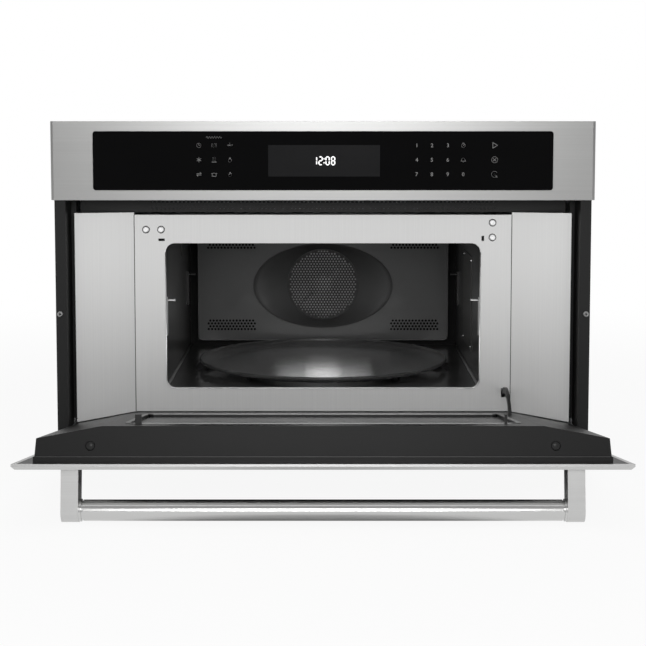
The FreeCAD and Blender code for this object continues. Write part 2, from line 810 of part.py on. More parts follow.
def frame_screws():
    screws = []
    head = FRAME_DEPTH - SCREW_HEAD_T
    for x, z in screw_spots():
        cap = prism_y(SMALL_SIDES, SCREW_HEAD_R, head, FRAME_DEPTH, x, z)
        shank = prism_y(SMALL_SIDES, SCREW_R, FRAME_DEPTH, FRAME_DEPTH + SCREW_LEN, x, z)
        screws.append(fuse([cap, shank]))
    return Part.makeCompound(screws)


def side_panel_right():
    path = [
        (PANEL_IN - PANEL_T, FRAME_DEPTH + PANEL_RETURN),
        (PANEL_IN - PANEL_T, FRAME_DEPTH),
        (PANEL_OUT, PANEL_OUT_DEPTH),
        (PANEL_OUT, WRAP_FRONT - FLANGE_T),
    ]
    sheet = plan(strip(path, PANEL_T), 0, PANEL_TOP)
    keep = front_shape(
        [
            (PANEL_IN - 2 * PANEL_T, FRAME_BOTTOM),
            (PANEL_OUT + PANEL_T, PANEL_BOTTOM_OUT),
            (PANEL_OUT + PANEL_T, PANEL_TOP),
            (PANEL_IN - 2 * PANEL_T, PANEL_TOP),
        ],
        0,
        FRAME_DEPTH + PANEL_RETURN,
    )
    return sheet.common(keep)


def cavity_wrapper():
    left = box(-WALL_OUT, -CAVITY_HALF, FRAME_BACK, BACK_FLANGE, CAVITY_FLOOR, CEILING_OUT)
    right = box(CAVITY_HALF, WALL_OUT, FRAME_BACK, BACK_FLANGE, CAVITY_FLOOR, CEILING_OUT)
    port = box(
        CAVITY_HALF,
        WALL_OUT,
        GUIDE_FRONT + GUIDE_EDGE,
        GUIDE_BACK - GUIDE_EDGE,
        GUIDE_BOTTOM + GUIDE_EDGE,
        GUIDE_TOP - GUIDE_EDGE,
    )
    lamp_hole = prism_x(MIDDLE_SIDES, LAMP_R, -WALL_OUT, -CAVITY_HALF, LAMP_DEPTH, LAMP_Z)
    ceiling = box(-CAVITY_HALF, CAVITY_HALF, FRAME_BACK, BACK_FLANGE, CAVITY_TOP, CEILING_OUT)
    return Part.makeCompound([left.cut(lamp_hole), right.cut(port), ceiling])


def cavity_floor():
    low = CAVITY_FLOOR - CAVITY_T
    sheet = box(-WALL_OUT, WALL_OUT, FRAME_BACK, BACK_FLANGE, low, CAVITY_FLOOR)
    well = prism_z(LARGE_SIDES, RECESS_R + CAVITY_T, RECESS_UNDER, CAVITY_FLOOR, 0, TRAY_DEPTH)
    hollow = prism_z(LARGE_SIDES, RECESS_R, RECESS_Z, CAVITY_FLOOR, 0, TRAY_DEPTH)
    hole = prism_z(MIDDLE_SIDES, DRIVE_R + DRIVE_PLAY, RECESS_UNDER, RECESS_Z, 0, TRAY_DEPTH)
    return fuse([sheet, well]).cut(hollow).cut(hole)


def oval_corners(half_w, half_h, d):
    corners = []
    for k in range(DISH_SIDES):
        a = 2 * math.pi * k / DISH_SIDES
        corners.append(V(half_w * math.cos(a), FRONT_Y + d, DISH_Z + half_h * math.sin(a)))
    return corners


def dish_solid(extra, d0, d1):
    """Bowl that runs from an oval mouth to a round floor."""
    seat = DISC_R + DISC_SEAT
    slope_w = (seat - DISH_HALF_W) / DISH_D
    slope_h = (seat - DISH_HALF_H) / DISH_D
    rims = []
    for d in (d0, d1):
        deep = d - CAVITY_BACK
        half_w = DISH_HALF_W + slope_w * deep + extra
        rims.append(oval_corners(half_w, DISH_HALF_H + slope_h * deep + extra, d))
    return stacked(rims)


def cavity_back():
    front = soft_plate(
        -BACK_HALF, BACK_HALF, CAVITY_BACK, BACK_REAR, BACK_BOTTOM, BACK_TOP, BACK_R
    )
    inner = soft_plate(
        -BACK_HALF + BACK_SHEET,
        BACK_HALF - BACK_SHEET,
        CAVITY_BACK + BACK_SHEET,
        BACK_REAR,
        BACK_BOTTOM + BACK_SHEET,
        BACK_TOP - BACK_SHEET,
        BACK_R - BACK_SHEET,
    )
    low = CAVITY_FLOOR - CAVITY_T
    flange = box(-WALL_OUT, WALL_OUT, BACK_FLANGE, BACK_REAR, low, CEILING_OUT)
    panel = fuse([front, flange]).cut(inner)
    bowl = dish_solid(BACK_SHEET, CAVITY_BACK, DISH_FLOOR + BACK_SHEET)
    panel = fuse([panel, bowl]).cut(dish_solid(0, CAVITY_BACK - OVERCUT, DISH_FLOOR))
    seat = DISC_R - DISC_SEAT
    holes = [prism_y(LARGE_SIDES, seat, CAVITY_BACK, DISH_FLOOR + BACK_SHEET, 0, DISH_Z)]
    half_w = FIELD_W / 2
    half_h = FIELD_H / 2
    back = CAVITY_BACK + BACK_SHEET
    for side in (-1, 1):
        x = side * (BACK_HALF - FIELD_EDGE)
        for z in (BACK_BOTTOM + FIELD_LOW, BACK_TOP - FIELD_HIGH):
            holes.append(box(x - half_w, x + half_w, CAVITY_BACK, back, z - half_h, z + half_h))
    return panel.cut(Part.makeCompound(holes))


def fan_grille():
    disc = prism_y(LARGE_SIDES, DISC_R, DISH_FLOOR - DISC_T, DISH_FLOOR, 0, DISH_Z)
    rings = int((DISC_R - DISC_SEAT - DISC_HOLE_R) / DISC_PITCH)
    holes = []
    for row in range(-rings, rings + 1):
        count = 2 * rings + 1 - abs(row)
        z = DISH_Z + row * DISC_PITCH * math.sqrt(3) / 2
        for i in range(count):
            x = (i - (count - 1) / 2) * DISC_PITCH
            holes.append(prism_y(6, DISC_HOLE_R, DISH_FLOOR - DISC_T, DISH_FLOOR, x, z))
    return disc.cut(Part.makeCompound(holes))


def fan_housing():
    flange = box(
        -FAN_BOX_HALF - BRACKET_W,
        FAN_BOX_HALF + BRACKET_W,
        BACK_REAR,
        BACK_REAR + BACK_SHEET,
        CAVITY_FLOOR,
        CAVITY_TOP,
    )
    low = DISH_Z - FAN_BOX_HALF_H
    high = DISH_Z + FAN_BOX_HALF_H
    pan = box(-FAN_BOX_HALF, FAN_BOX_HALF, BACK_REAR, FAN_BOX_REAR, low, high)
    rear = FAN_BOX_REAR - BACK_SHEET
    hollow = box(
        -FAN_BOX_HALF + BACK_SHEET,
        FAN_BOX_HALF - BACK_SHEET,
        BACK_REAR,
        rear,
        low + BACK_SHEET,
        high - BACK_SHEET,
    )
    cuts = [prism_y(MIDDLE_SIDES, FAN_SHAFT_R + FAN_BORE_PLAY, rear, FAN_BOX_REAR, 0, DISH_Z)]
    z = DISH_Z - math.sqrt(HEATER_R**2 - HEATER_LEAD_X**2)
    for x in (-HEATER_LEAD_X, HEATER_LEAD_X):
        cuts.append(prism_y(SMALL_SIDES, HEATER_TUBE_R + FIT, rear, FAN_BOX_REAR, x, z))
    return fuse([flange, pan]).cut(hollow).cut(Part.makeCompound(cuts))


def heater_section(angle, depth, lean_along, lean_back):
    """Outline of the tube at an angle round the ring, counted from the bottom."""
    out = V(math.sin(angle), 0, -math.cos(angle))
    along = V(math.cos(angle), 0, math.sin(angle))
    middle = V(0, FRONT_Y + depth, DISH_Z) + out * HEATER_R
    side = along * lean_along + V(0, lean_back, 0)
    corners = []
    for k in range(HEATER_SIDES + 1):
        a = 2 * math.pi * k / HEATER_SIDES
        corners.append(
            middle + out * (HEATER_TUBE_R * math.cos(a)) + side * (HEATER_TUBE_R * math.sin(a))
        )
    return Part.Wire(Part.makePolygon(corners))


def convection_heater():
    gap = math.asin(HEATER_LEAD_X / HEATER_R)
    tail = FAN_BOX_REAR + FAN_MOTOR_D / 2
    step = (2 * math.pi - 2 * gap) / HEATER_SEGMENTS
    sections = [heater_section(gap, tail, 1, 0), heater_section(gap, HEATER_DEPTH, 1, 1)]
    for k in range(1, HEATER_SEGMENTS):
        sections.append(heater_section(gap + k * step, HEATER_DEPTH, 0, 1))
    sections.append(heater_section(-gap, HEATER_DEPTH, -1, 1))
    sections.append(heater_section(-gap, tail, -1, 0))
    return Part.makeLoft(sections, True, True)


def convection_fan():
    hub = prism_y(MIDDLE_SIDES, FAN_HUB_R, FAN_FRONT, FAN_BACK, 0, DISH_Z)
    disc = prism_y(LARGE_SIDES, FAN_R, FAN_BACK - BACK_SHEET, FAN_BACK, 0, DISH_Z)
    shaft = rod_y(FAN_SHAFT_R, FAN_BACK - BACK_SHEET, FAN_BOX_REAR + FAN_MOTOR_D, 0, DISH_Z)
    pieces = [hub, disc, shaft]
    half = FAN_BLADE_T / 2
    for i in range(FAN_BLADES):
        blade = box(FAN_HUB_R / 2, FAN_R, FAN_FRONT, FAN_BACK, DISH_Z - half, DISH_Z + half)
        blade.rotate(V(0, FRONT_Y, DISH_Z), V(0, 1, 0), 360 / FAN_BLADES * i)
        pieces.append(blade)
    return fuse(pieces)


def fan_motor():
    front = FAN_BOX_REAR
    back = front + FAN_MOTOR_D
    can = prism_y(MIDDLE_SIDES, FAN_MOTOR_R, front, back, 0, DISH_Z)
    half = FAN_MOTOR_R + FAN_EAR
    ears = box(-half, half, front, front + FAN_EAR_T, DISH_Z - FAN_EAR, DISH_Z + FAN_EAR)
    bore = rod_y(FAN_SHAFT_R + SHAFT_PLAY, front, back, 0, DISH_Z)
    return fuse([can, ears]).cut(bore)


def rack_supports():
    pieces = []
    r = RACK_WIRE_R
    low = RACK_Z - RACK_WIRE_DROP
    high = RACK_Z + RACK_WIRE_RISE
    for side in (-1, 1):
        wall = side * CAVITY_HALF
        tip = side * (CAVITY_HALF - RACK_PIN_LEN)
        x = side * (CAVITY_HALF - r)
        for depth in RACK_DEPTHS:
            pin = prism_x(SMALL_SIDES, RACK_PIN_R, min(wall, tip), max(wall, tip), depth, RACK_Z)
            wire = box(x - r, x + r, depth - r, depth + r, low, high)
            pieces.append(fuse([pin, wire]))
    return Part.makeCompound(pieces)


def waveguide_cover():
    e = COVER_EDGE
    return box(
        CAVITY_HALF - COVER_T,
        CAVITY_HALF,
        GUIDE_FRONT - e,
        GUIDE_BACK + e,
        GUIDE_BOTTOM - e,
        GUIDE_TOP + e,
    )


def waveguide():
    inner = WALL_OUT
    e = GUIDE_EDGE - GUIDE_T
    out = inner + GUIDE_W
    duct = box(
        inner, out, GUIDE_FRONT + e, GUIDE_BACK - e, GUIDE_BOTTOM + e, GUIDE_TOP - e
    )
    e = GUIDE_EDGE
    hollow = box(
        inner, out - GUIDE_T, GUIDE_FRONT + e, GUIDE_BACK - e, GUIDE_BOTTOM + e, GUIDE_TOP - e
    )
    return duct.cut(hollow)


def magnetron():
    x0 = WALL_OUT + GUIDE_W
    x1 = x0 + MAGNETRON_W
    mid_d = (GUIDE_FRONT + GUIDE_BACK) / 2
    mid_z = (GUIDE_BOTTOM + GUIDE_TOP) / 2
    hd = MAGNETRON_D / 2
    hz = MAGNETRON_H / 2
    p = MAGNETRON_PLATE
    yoke = box(x0, x1, mid_d - hd, mid_d + hd, mid_z - hz, mid_z + hz)
    gap = box(x0 + p, x1 - p, mid_d - hd, mid_d + hd, mid_z - hz + p, mid_z + hz - p)
    pieces = [yoke.cut(gap), prism_x(SMALL_SIDES, MAGNETRON_CORE_R, x0, x1, mid_d, mid_z)]
    step = (MAGNETRON_W - 2 * p) / (FIN_COUNT + 1)
    deep = hd - FIN_INSET
    for i in range(FIN_COUNT):
        x = x0 + p + step * (i + 1)
        pieces.append(box(x, x + FIN_T, mid_d - deep, mid_d + deep, mid_z - hz, mid_z + hz))
    return fuse(pieces)


def hv_transformer():
    half = TRANSFORMER_W / 2
    c = TRANSFORMER_COIL
    top = BASE_T + TRANSFORMER_H
    front = TRANSFORMER_FRONT
    back = TRANSFORMER_BACK
    core = box(SIDE_MID - half, SIDE_MID + half, front, back, BASE_T, top)
    coil = box(
        SIDE_MID - half + c, SIDE_MID + half - c, front - c, back + c, BASE_T + c, top + c / 2
    )
    foot = box(
        SIDE_MID - half - c, SIDE_MID + half + c, front, back, BASE_T, BASE_T + TRANSFORMER_FOOT
    )
    return fuse([core, coil, foot])


def hv_capacitor():
    x = SIDE_MID
    half = CAPACITOR_W / 2
    back = CAPACITOR_BACK - half
    front = back - CAPACITOR_D
    top = BASE_T + CAPACITOR_H
    pieces = [box(x - half, x + half, front, back, BASE_T, top)]
    for depth in (front, back):
        pieces.append(prism_z(MIDDLE_SIDES, half, BASE_T, top, x, depth))
    tab = TERMINAL_T / 2
    wide = TERMINAL_W / 2
    for depth in (front + CAPACITOR_D / 4, back - CAPACITOR_D / 4):
        pieces.append(box(x - wide, x + wide, depth - tab, depth + tab, BASE_T, top + TERMINAL_H))
    return fuse(pieces)


def blower_housing():
    x = SIDE_MID
    half = BLOWER_HALF
    front = BLOWER_FRONT
    stop = front + BLOWER_MOTOR_D
    block = box(x - half, x + half, front, REAR_IN, BLOWER_Z - half, BLOWER_Z + half)
    tunnel = prism_y(LARGE_SIDES, BLOWER_R + BLOWER_TIP_GAP, front, REAR_IN, x, BLOWER_Z)
    motor = prism_y(MIDDLE_SIDES, BLOWER_HUB_R, front, stop, x, BLOWER_Z)
    a = BLOWER_ARM_W / 2
    end = front + BLOWER_ARM_T
    arms = [
        box(x - half, x + half, front, end, BLOWER_Z - a, BLOWER_Z + a),
        box(x - a, x + a, front, end, BLOWER_Z - half, BLOWER_Z + half),
    ]
    bore = rod_y(BLOWER_SHAFT_R + SHAFT_PLAY, front, stop, x, BLOWER_Z)
    return fuse([block.cut(tunnel), motor] + arms).cut(bore)


def blower_wheel():
    x = SIDE_MID
    d0 = BLOWER_FRONT + BLOWER_MOTOR_D + BLOWER_GAP
    d1 = REAR_IN - BLOWER_BACK_GAP
    hub = prism_y(MIDDLE_SIDES, BLOWER_HUB_R, d0, d1, x, BLOWER_Z)
    shaft = rod_y(BLOWER_SHAFT_R, BLOWER_FRONT, d0, x, BLOWER_Z)
    pieces = [hub, shaft]
    mid = (d0 + d1) / 2
    centre = V(x, FRONT_Y + mid, BLOWER_Z)
    t = BLOWER_BLADE_T / 2
    c = BLOWER_CHORD / 2
    root = x + BLOWER_HUB_R * 0.85
    for i in range(BLOWER_BLADES):
        blade = box(root, x + BLOWER_R, mid - t, mid + t, BLOWER_Z - c, BLOWER_Z + c)
        blade.rotate(centre, V(1, 0, 0), BLOWER_PITCH)
        blade.rotate(centre, V(0, 1, 0), 360 / BLOWER_BLADES * i)
        pieces.append(blade)
    return fuse(pieces)


def cavity_lamp():
    x = -WALL_OUT
    back = x - LAMP_LEN
    shade = prism_x(MIDDLE_SIDES, LAMP_R + LAMP_WALL, back, x, LAMP_DEPTH, LAMP_Z)
    room = prism_x(MIDDLE_SIDES, LAMP_R, back + LAMP_BASE, x, LAMP_DEPTH, LAMP_Z)
    bulb = prism_x(SMALL_SIDES, BULB_R, back + LAMP_BASE / 2, x - BULB_GAP, LAMP_DEPTH, LAMP_Z)
    return fuse([shade.cut(room), bulb])


def turntable_motor():
    top = RECESS_UNDER
    low = top - DRIVE_MOTOR_H
    can = prism_z(MIDDLE_SIDES, DRIVE_MOTOR_R, low, top, 0, TRAY_DEPTH)
    reach = DRIVE_MOTOR_R + DRIVE_EAR
    half = DRIVE_EAR_W / 2
    ears = box(-reach, reach, TRAY_DEPTH - half, TRAY_DEPTH + half, top - DRIVE_EAR_T, top)
    bore = rod_z(DRIVE_R + SHAFT_PLAY, low, top, 0, TRAY_DEPTH)
    return fuse([can, ears]).cut(bore)


def drive_coupler():
    low = RECESS_UNDER - DRIVE_MOTOR_H + DRIVE_END
    shaft = rod_z(DRIVE_R, low, TRAY_UNDER, 0, TRAY_DEPTH)
    seat = RECESS_Z + COUPLER_GAP
    hub = prism_z(MIDDLE_SIDES, COUPLER_HUB_R, seat, TRAY_UNDER, 0, TRAY_DEPTH)
    pieces = [shaft, hub]
    half = COUPLER_LOBE_W / 2
    for i in range(3):
        lobe = box(0, COUPLER_R, TRAY_DEPTH - half, TRAY_DEPTH + half, seat, TRAY_UNDER)
        lobe.rotate(V(0, FRONT_Y + TRAY_DEPTH, 0), V(0, 0, 1), 120 * i + 90)
        pieces.append(lobe)
    return fuse(pieces)


def tray_ring(r, z):
    return [V(a, FRONT_Y + TRAY_DEPTH + b, z) for a, b in ngon(LARGE_SIDES, r)]


def turntable_tray():
    half = TRAY_T / 2
    outside = [
        tray_ring(TRAY_FLAT_R, TRAY_UNDER),
        tray_ring(TRAY_R, TRAY_RIM_Z - TRAY_T),
        tray_ring(TRAY_R, TRAY_RIM_Z),
    ]
    inside = [
        tray_ring(TRAY_FLAT_R - half, TRAY_UNDER + TRAY_T),
        tray_ring(TRAY_R - TRAY_T - half, TRAY_RIM_Z),
    ]
    return stacked(outside).cut(stacked(inside))


def roller_ring():
    low = ROLLER_Z - RING_H / 2
    high = low + RING_H
    band = prism_z(LARGE_SIDES, RING_R, low, high, 0, TRAY_DEPTH)
    band = band.cut(prism_z(LARGE_SIDES, RING_R - RING_W, low, high, 0, TRAY_DEPTH))
    pieces = [band]
    start = RING_R - RING_W / 2
    tip = ROLLER_PATH_R + ROLLER_W / 2 + AXLE_SPARE
    for i in range(3):
        axle = prism_x(MIDDLE_SIDES, AXLE_R, start, tip, TRAY_DEPTH, ROLLER_Z)
        cap = prism_x(SMALL_SIDES, AXLE_CAP_R, tip - AXLE_CAP_T, tip, TRAY_DEPTH, ROLLER_Z)
        arm = fuse([axle, cap])
        arm.rotate(V(0, FRONT_Y + TRAY_DEPTH, 0), V(0, 0, 1), 120 * i + 90)
        pieces.append(arm)
    return fuse(pieces)


def roller(i):
    x0 = ROLLER_PATH_R - ROLLER_W / 2
    wheel = rod_x(ROLLER_R, x0, x0 + ROLLER_W, TRAY_DEPTH, ROLLER_Z)
    bore = prism_x(MIDDLE_SIDES, AXLE_R + AXLE_PLAY, x0, x0 + ROLLER_W, TRAY_DEPTH, ROLLER_Z)
    wheel = wheel.cut(bore)
    wheel.rotate(V(0, FRONT_Y + TRAY_DEPTH, 0), V(0, 0, 1), 120 * i + 90)
    return wheel


def base_plate():
    sheet = box(-BODY_HALF, BODY_HALF, BASE_SETBACK, BODY_BACK, 0, BASE_T)
    left = box(-BODY_HALF, -BODY_HALF + BASE_T, WRAP_FRONT, REAR_IN, 0, BASE_FLANGE_H)
    right = box(BODY_HALF - BASE_T, BODY_HALF, WRAP_FRONT, REAR_IN, 0, BASE_FLANGE_H)
    return fuse([sheet, left, right])


def outer_wrapper():
    out = BODY_HALF + WRAP_T
    left = box(-out, -BODY_HALF, WRAP_FRONT, BODY_BACK, 0, BODY_TOP + WRAP_T)
    right = box(BODY_HALF, out, WRAP_FRONT, BODY_BACK, 0, BODY_TOP + WRAP_T)
    top = box(-BODY_HALF, BODY_HALF, WRAP_FRONT, BODY_BACK, BODY_TOP, BODY_TOP + WRAP_T)
    return Part.makeCompound([left, right, top])


def rear_panel():
    sheet = box(-BODY_HALF, BODY_HALF, REAR_IN, BODY_BACK, BASE_T, BODY_TOP)
    cuts = [prism_y(MIDDLE_SIDES, GLAND_R, REAR_IN, BODY_BACK, GLAND_X, GLAND_Z)]
    rows = int(BLOWER_R / SLAT_PITCH)
    for k in range(-rows, rows + 1):
        z = BLOWER_Z + k * SLAT_PITCH - SLAT_H / 2
        half = math.sqrt(BLOWER_R**2 - (k * SLAT_PITCH) ** 2)
        cuts.append(box(SIDE_MID - half, SIDE_MID + half, REAR_IN, BODY_BACK, z, z + SLAT_H))
    return sheet.cut(Part.makeCompound(cuts))


def supply_gland():
    nut = prism_y(6, GLAND_NUT_R, REAR_IN - GLAND_NUT_T, REAR_IN, GLAND_X, GLAND_Z)
    neck = prism_y(MIDDLE_SIDES, GLAND_R, REAR_IN, BODY_BACK, GLAND_X, GLAND_Z)
    end = BODY_BACK + GLAND_CAP_T
    cap = prism_y(MIDDLE_SIDES, GLAND_CAP_R, BODY_BACK, end, GLAND_X, GLAND_Z)
    bore = prism_y(MIDDLE_SIDES, GLAND_BORE_R, REAR_IN - GLAND_NUT_T, end, GLAND_X, GLAND_Z)
    return fuse([nut, neck, cap]).cut(bore)


def lower_fascia():
    half = HINGE_IN - LOWER_FASCIA_PLAY
    front = LOWER_FASCIA_DEPTH
    back = front + FACE_SHEET
    plate = box(-half, half, front, back, BASE_T, LOWER_FASCIA_TOP)
    foot = box(-half, half, front, back + LOWER_FASCIA_FOOT, BASE_T, BASE_T + FACE_SHEET)
    return fuse([plate, foot])


def cavity_brackets():
    pieces = []
    top = CAVITY_FLOOR - CAVITY_T
    for side in (-1, 1):
        a = side * (BRACKET_X - BRACKET_W / 2)
        b = side * (BRACKET_X + BRACKET_W / 2)
        x0, x1 = min(a, b), max(a, b)
        block = box(x0, x1, BRACKET_FRONT, BRACKET_BACK, BASE_T, top)
        t = CAVITY_T
        hollow = box(x0 + t, x1, BRACKET_FRONT, BRACKET_BACK, BASE_T + t, top - t)
        if side < 0:
            hollow = box(x0, x1 - t, BRACKET_FRONT, BRACKET_BACK, BASE_T + t, top - t)
        pieces.append(block.cut(hollow))
    return Part.makeCompound(pieces)


def hinge_bracket_right():
    nose = PIVOT_DEPTH - HINGE_NOSE
    plate = box(HINGE_IN, BODY_HALF, nose, HINGE_BACK, HINGE_BOTTOM, HINGE_TOP)
    pin = rod_x(PIN_R, HINGE_IN - PIN_REACH, HINGE_IN, PIVOT_DEPTH, PIVOT_Z)
    return fuse([plate, pin])


def latch_switch(x):
    front = HOOK_TIP + PLUNGER_GAP + PLUNGER_NOSE
    back = front + SWITCH_D
    half = SWITCH_W / 2
    body = box(x - half, x + half, front, back, CEILING_OUT, CEILING_OUT + SWITCH_H)
    bore = prism_y(SMALL_SIDES, PLUNGER_R + SHAFT_PLAY, front, back, x, PLUNGER_Z)
    return body.cut(bore)


def interlock_switches():
    return Part.makeCompound([latch_switch(spot[0]) for spot in hook_spots()])


def plunger(spot):
    d0 = HOOK_TIP + PLUNGER_GAP
    return prism_y(SMALL_SIDES, PLUNGER_R, d0, d0 + PLUNGER_LEN, spot[0], PLUNGER_Z)


def door_skin():
    block = box(-FACE_HALF, FACE_HALF, 0, SKIN_T, DOOR_BOTTOM, DOOR_TOP)
    edges = [e for e in block.Edges if all(v.Y < FRONT_Y + FIT for v in e.Vertexes)]
    block = block.makeChamfer(SKIN_BEVEL, edges)
    wall = SKIN_WALL
    pocket = box(
        -FACE_HALF + wall,
        FACE_HALF - wall,
        FACE_SHEET,
        SKIN_T,
        DOOR_BOTTOM + wall,
        DOOR_TOP - wall,
    )
    window = soft_plate(
        -WINDOW_HALF, WINDOW_HALF, -OVERCUT, SKIN_T, WINDOW_BOTTOM, WINDOW_TOP, WINDOW_R
    )
    holes = []
    for x, z in post_screw_spots():
        holes.append(prism_y(SMALL_SIDES, POST_SCREW_R, 0, FACE_SHEET, x, z))
    return block.cut(pocket).cut(window).cut(Part.makeCompound(holes))


def post_screw_spots():
    spots = []
    for side in (-1, 1):
        for shift in (-0.5, 0.5):
            spots.append((side * (POST_IN + POST_W / 2), BAR_Z + shift * POST_SCREW_PITCH))
    return spots


def door_outer_glass():
    lap = WINDOW_LAP
    return soft_plate(
        -WINDOW_HALF - lap,
        WINDOW_HALF + lap,
        FACE_SHEET,
        FACE_SHEET + WINDOW_T,
        WINDOW_BOTTOM - lap,
        WINDOW_TOP + lap,
        WINDOW_R,
    )


def liner_outline(grow):
    side_d = SKIN_T + LINER_SIDE_D - grow
    flat_d = PLATEAU - grow
    step = LINER_RIM_HALF - LINER_STEP - grow
    side = LINER_SIDE_HALF - grow
    flat = LINER_FLAT_HALF - grow * 0.1
    rim_d = SKIN_T + LINER_RIM_D
    return [
        (-step, SKIN_T - LINER_FLANGE_T),
        (-step, rim_d),
        (-side, side_d),
        (-flat, flat_d),
        (flat, flat_d),
        (side, side_d),
        (step, rim_d),
        (step, SKIN_T - LINER_FLANGE_T),
    ]


def door_liner():
    wall = SKIN_WALL + FIT
    flange = box(
        -FACE_HALF + wall,
        FACE_HALF - wall,
        SKIN_T - LINER_FLANGE_T,
        SKIN_T,
        DOOR_BOTTOM + wall,
        DOOR_TOP - wall,
    )
    rim = box(
        -LINER_RIM_HALF,
        LINER_RIM_HALF,
        SKIN_T,
        SKIN_T + LINER_RIM_D,
        LINER_BOTTOM,
        LINER_TOP + LINER_STEP,
    )
    body = plan(liner_outline(0), LINER_BOTTOM, LINER_TOP)
    hollow = plan(liner_outline(LINER_WALL), LINER_BOTTOM + LINER_WALL, LINER_TOP - LINER_WALL)
    pan = fuse([flange, rim, body]).cut(hollow)
    inner_half = TRIM_HALF - TRIM_W
    opening = soft_plate(
        -inner_half,
        inner_half,
        PLATEAU - LINER_WALL - OVERCUT,
        PLATEAU + OVERCUT,
        TRIM_BOTTOM + TRIM_W,
        TRIM_TOP - TRIM_W,
        TRIM_R - TRIM_W,
    )
    cuts = [opening]
    low = LINER_TOP - DIMPLE_D
    for side in (-1, 1):
        x = side * DIMPLE_X
        cuts.append(prism_z(MIDDLE_SIDES, DIMPLE_R, low, LINER_TOP, x, SKIN_T + DIMPLE_DEPTH))
        edge = side * BUSH_OUT
        deep = side * (BUSH_OUT - BUSH_LEN)
        x0, x1 = min(edge, deep), max(edge, deep)
        cuts.append(prism_x(MIDDLE_SIDES, BUSH_R, x0, x1, PIVOT_DEPTH, PIVOT_Z))
    return pan.cut(Part.makeCompound(cuts))


def door_trim():
    outer = soft_plate(
        -TRIM_HALF, TRIM_HALF, PLATEAU, PLATEAU + TRIM_T, TRIM_BOTTOM, TRIM_TOP, TRIM_R
    )
    half = TRIM_HALF - TRIM_W
    inner = soft_plate(
        -half,
        half,
        PLATEAU - OVERCUT,
        PLATEAU + TRIM_T + OVERCUT,
        TRIM_BOTTOM + TRIM_W,
        TRIM_TOP - TRIM_W,
        TRIM_R - TRIM_W,
    )
    return outer.cut(inner)


def door_inner_glass():
    lap = INNER_GLASS_LAP - TRIM_W
    back = PLATEAU - LINER_WALL
    return box(
        -TRIM_HALF - lap,
        TRIM_HALF + lap,
        back - INNER_GLASS_T,
        back,
        TRIM_BOTTOM - lap,
        TRIM_TOP + lap,
    )


def door_screen():
    lap = INNER_GLASS_LAP - TRIM_W
    back = PLATEAU - LINER_WALL - INNER_GLASS_T
    front = back - SCREEN_T
    plate = box(
        -TRIM_HALF - lap,
        TRIM_HALF + lap,
        front,
        back,
        TRIM_BOTTOM - lap,
        TRIM_TOP + lap,
    )
    count = int(2 * (TRIM_HALF - SCREEN_EDGE) / SCREEN_PITCH)
    half = SCREEN_SLOT / 2
    cuts = []
    for i in range(count):
        x = (i - (count - 1) / 2) * SCREEN_PITCH
        low = TRIM_BOTTOM + SCREEN_EDGE
        cuts.append(box(x - half, x + half, front, back, low, TRIM_TOP - SCREEN_EDGE))
    return plate.cut(Part.makeCompound(cuts))


def latch_hooks():
    return Part.makeCompound([slot_cut(spot, PLATEAU, HOOK_TIP) for spot in hook_spots()])


def hinge_bushes():
    pieces = []
    for side in (-1, 1):
        edge = side * BUSH_OUT
        deep = side * (BUSH_OUT - BUSH_LEN)
        x0, x1 = min(edge, deep), max(edge, deep)
        ring = prism_x(MIDDLE_SIDES, BUSH_R, x0, x1, PIVOT_DEPTH, PIVOT_Z)
        pieces.append(ring.cut(rod_x(PIN_R + SHAFT_PLAY, x0, x1, PIVOT_DEPTH, PIVOT_Z)))
    return Part.makeCompound(pieces)


def check_arm():
    x0 = ARM_X - ARM_T / 2
    out_r = ARM_IN_R + ARM_W
    outer = rod_x(out_r, x0, x0 + ARM_T, PIVOT_DEPTH, PIVOT_Z)
    band = outer.cut(rod_x(ARM_IN_R, x0, x0 + ARM_T, PIVOT_DEPTH, PIVOT_Z))
    reach = 2 * out_r
    tail = math.radians(ARM_TAIL)
    wedge = profile(
        [
            (PIVOT_DEPTH, PIVOT_Z),
            (PIVOT_DEPTH + reach * math.cos(tail), PIVOT_Z + reach * math.sin(tail)),
            (PIVOT_DEPTH + reach, PIVOT_Z + reach),
            (PIVOT_DEPTH, PIVOT_Z + reach),
        ],
        x0,
        x0 + ARM_T,
    )
    behind = box(x0, x0 + ARM_T, PLATEAU, PIVOT_DEPTH + reach, PIVOT_Z - reach, PIVOT_Z + reach)
    return band.common(wedge).common(behind)


def handle_bar():
    end = POST_IN
    neck = end - COLLAR_W
    bar = neck - NECK_W
    reach = end + SPIGOT_LEN
    pieces = [
        prism_x(SMALL_SIDES, SPIGOT_R, -reach, reach, -BAR_STANDOFF, BAR_Z),
        rod_x(BAR_R, -bar, bar, -BAR_STANDOFF, BAR_Z),
        prism_x(LARGE_SIDES, NECK_R, -neck, neck, -BAR_STANDOFF, BAR_Z),
        prism_x(LARGE_SIDES, COLLAR_R, neck, end, -BAR_STANDOFF, BAR_Z),
        prism_x(LARGE_SIDES, COLLAR_R, -end, -neck, -BAR_STANDOFF, BAR_Z),
    ]
    return fuse(pieces)


def handle_post_right():
    x1 = POST_IN + POST_W
    arm = box(POST_IN, x1, -BAR_STANDOFF, 0, BAR_Z - POST_HALF, BAR_Z + POST_HALF)
    knob = rod_x(POST_HALF, POST_IN, x1, -BAR_STANDOFF, BAR_Z)
    deep = POST_IN + SPIGOT_LEN
    holes = [prism_x(SMALL_SIDES, SPIGOT_R, POST_IN, deep, -BAR_STANDOFF, BAR_Z)]
    for x, z in post_screw_spots():
        holes.append(prism_y(SMALL_SIDES, POST_SCREW_R, -POST_SCREW_LEN, 0, x, z))
    return fuse([arm, knob]).cut(Part.makeCompound(holes))


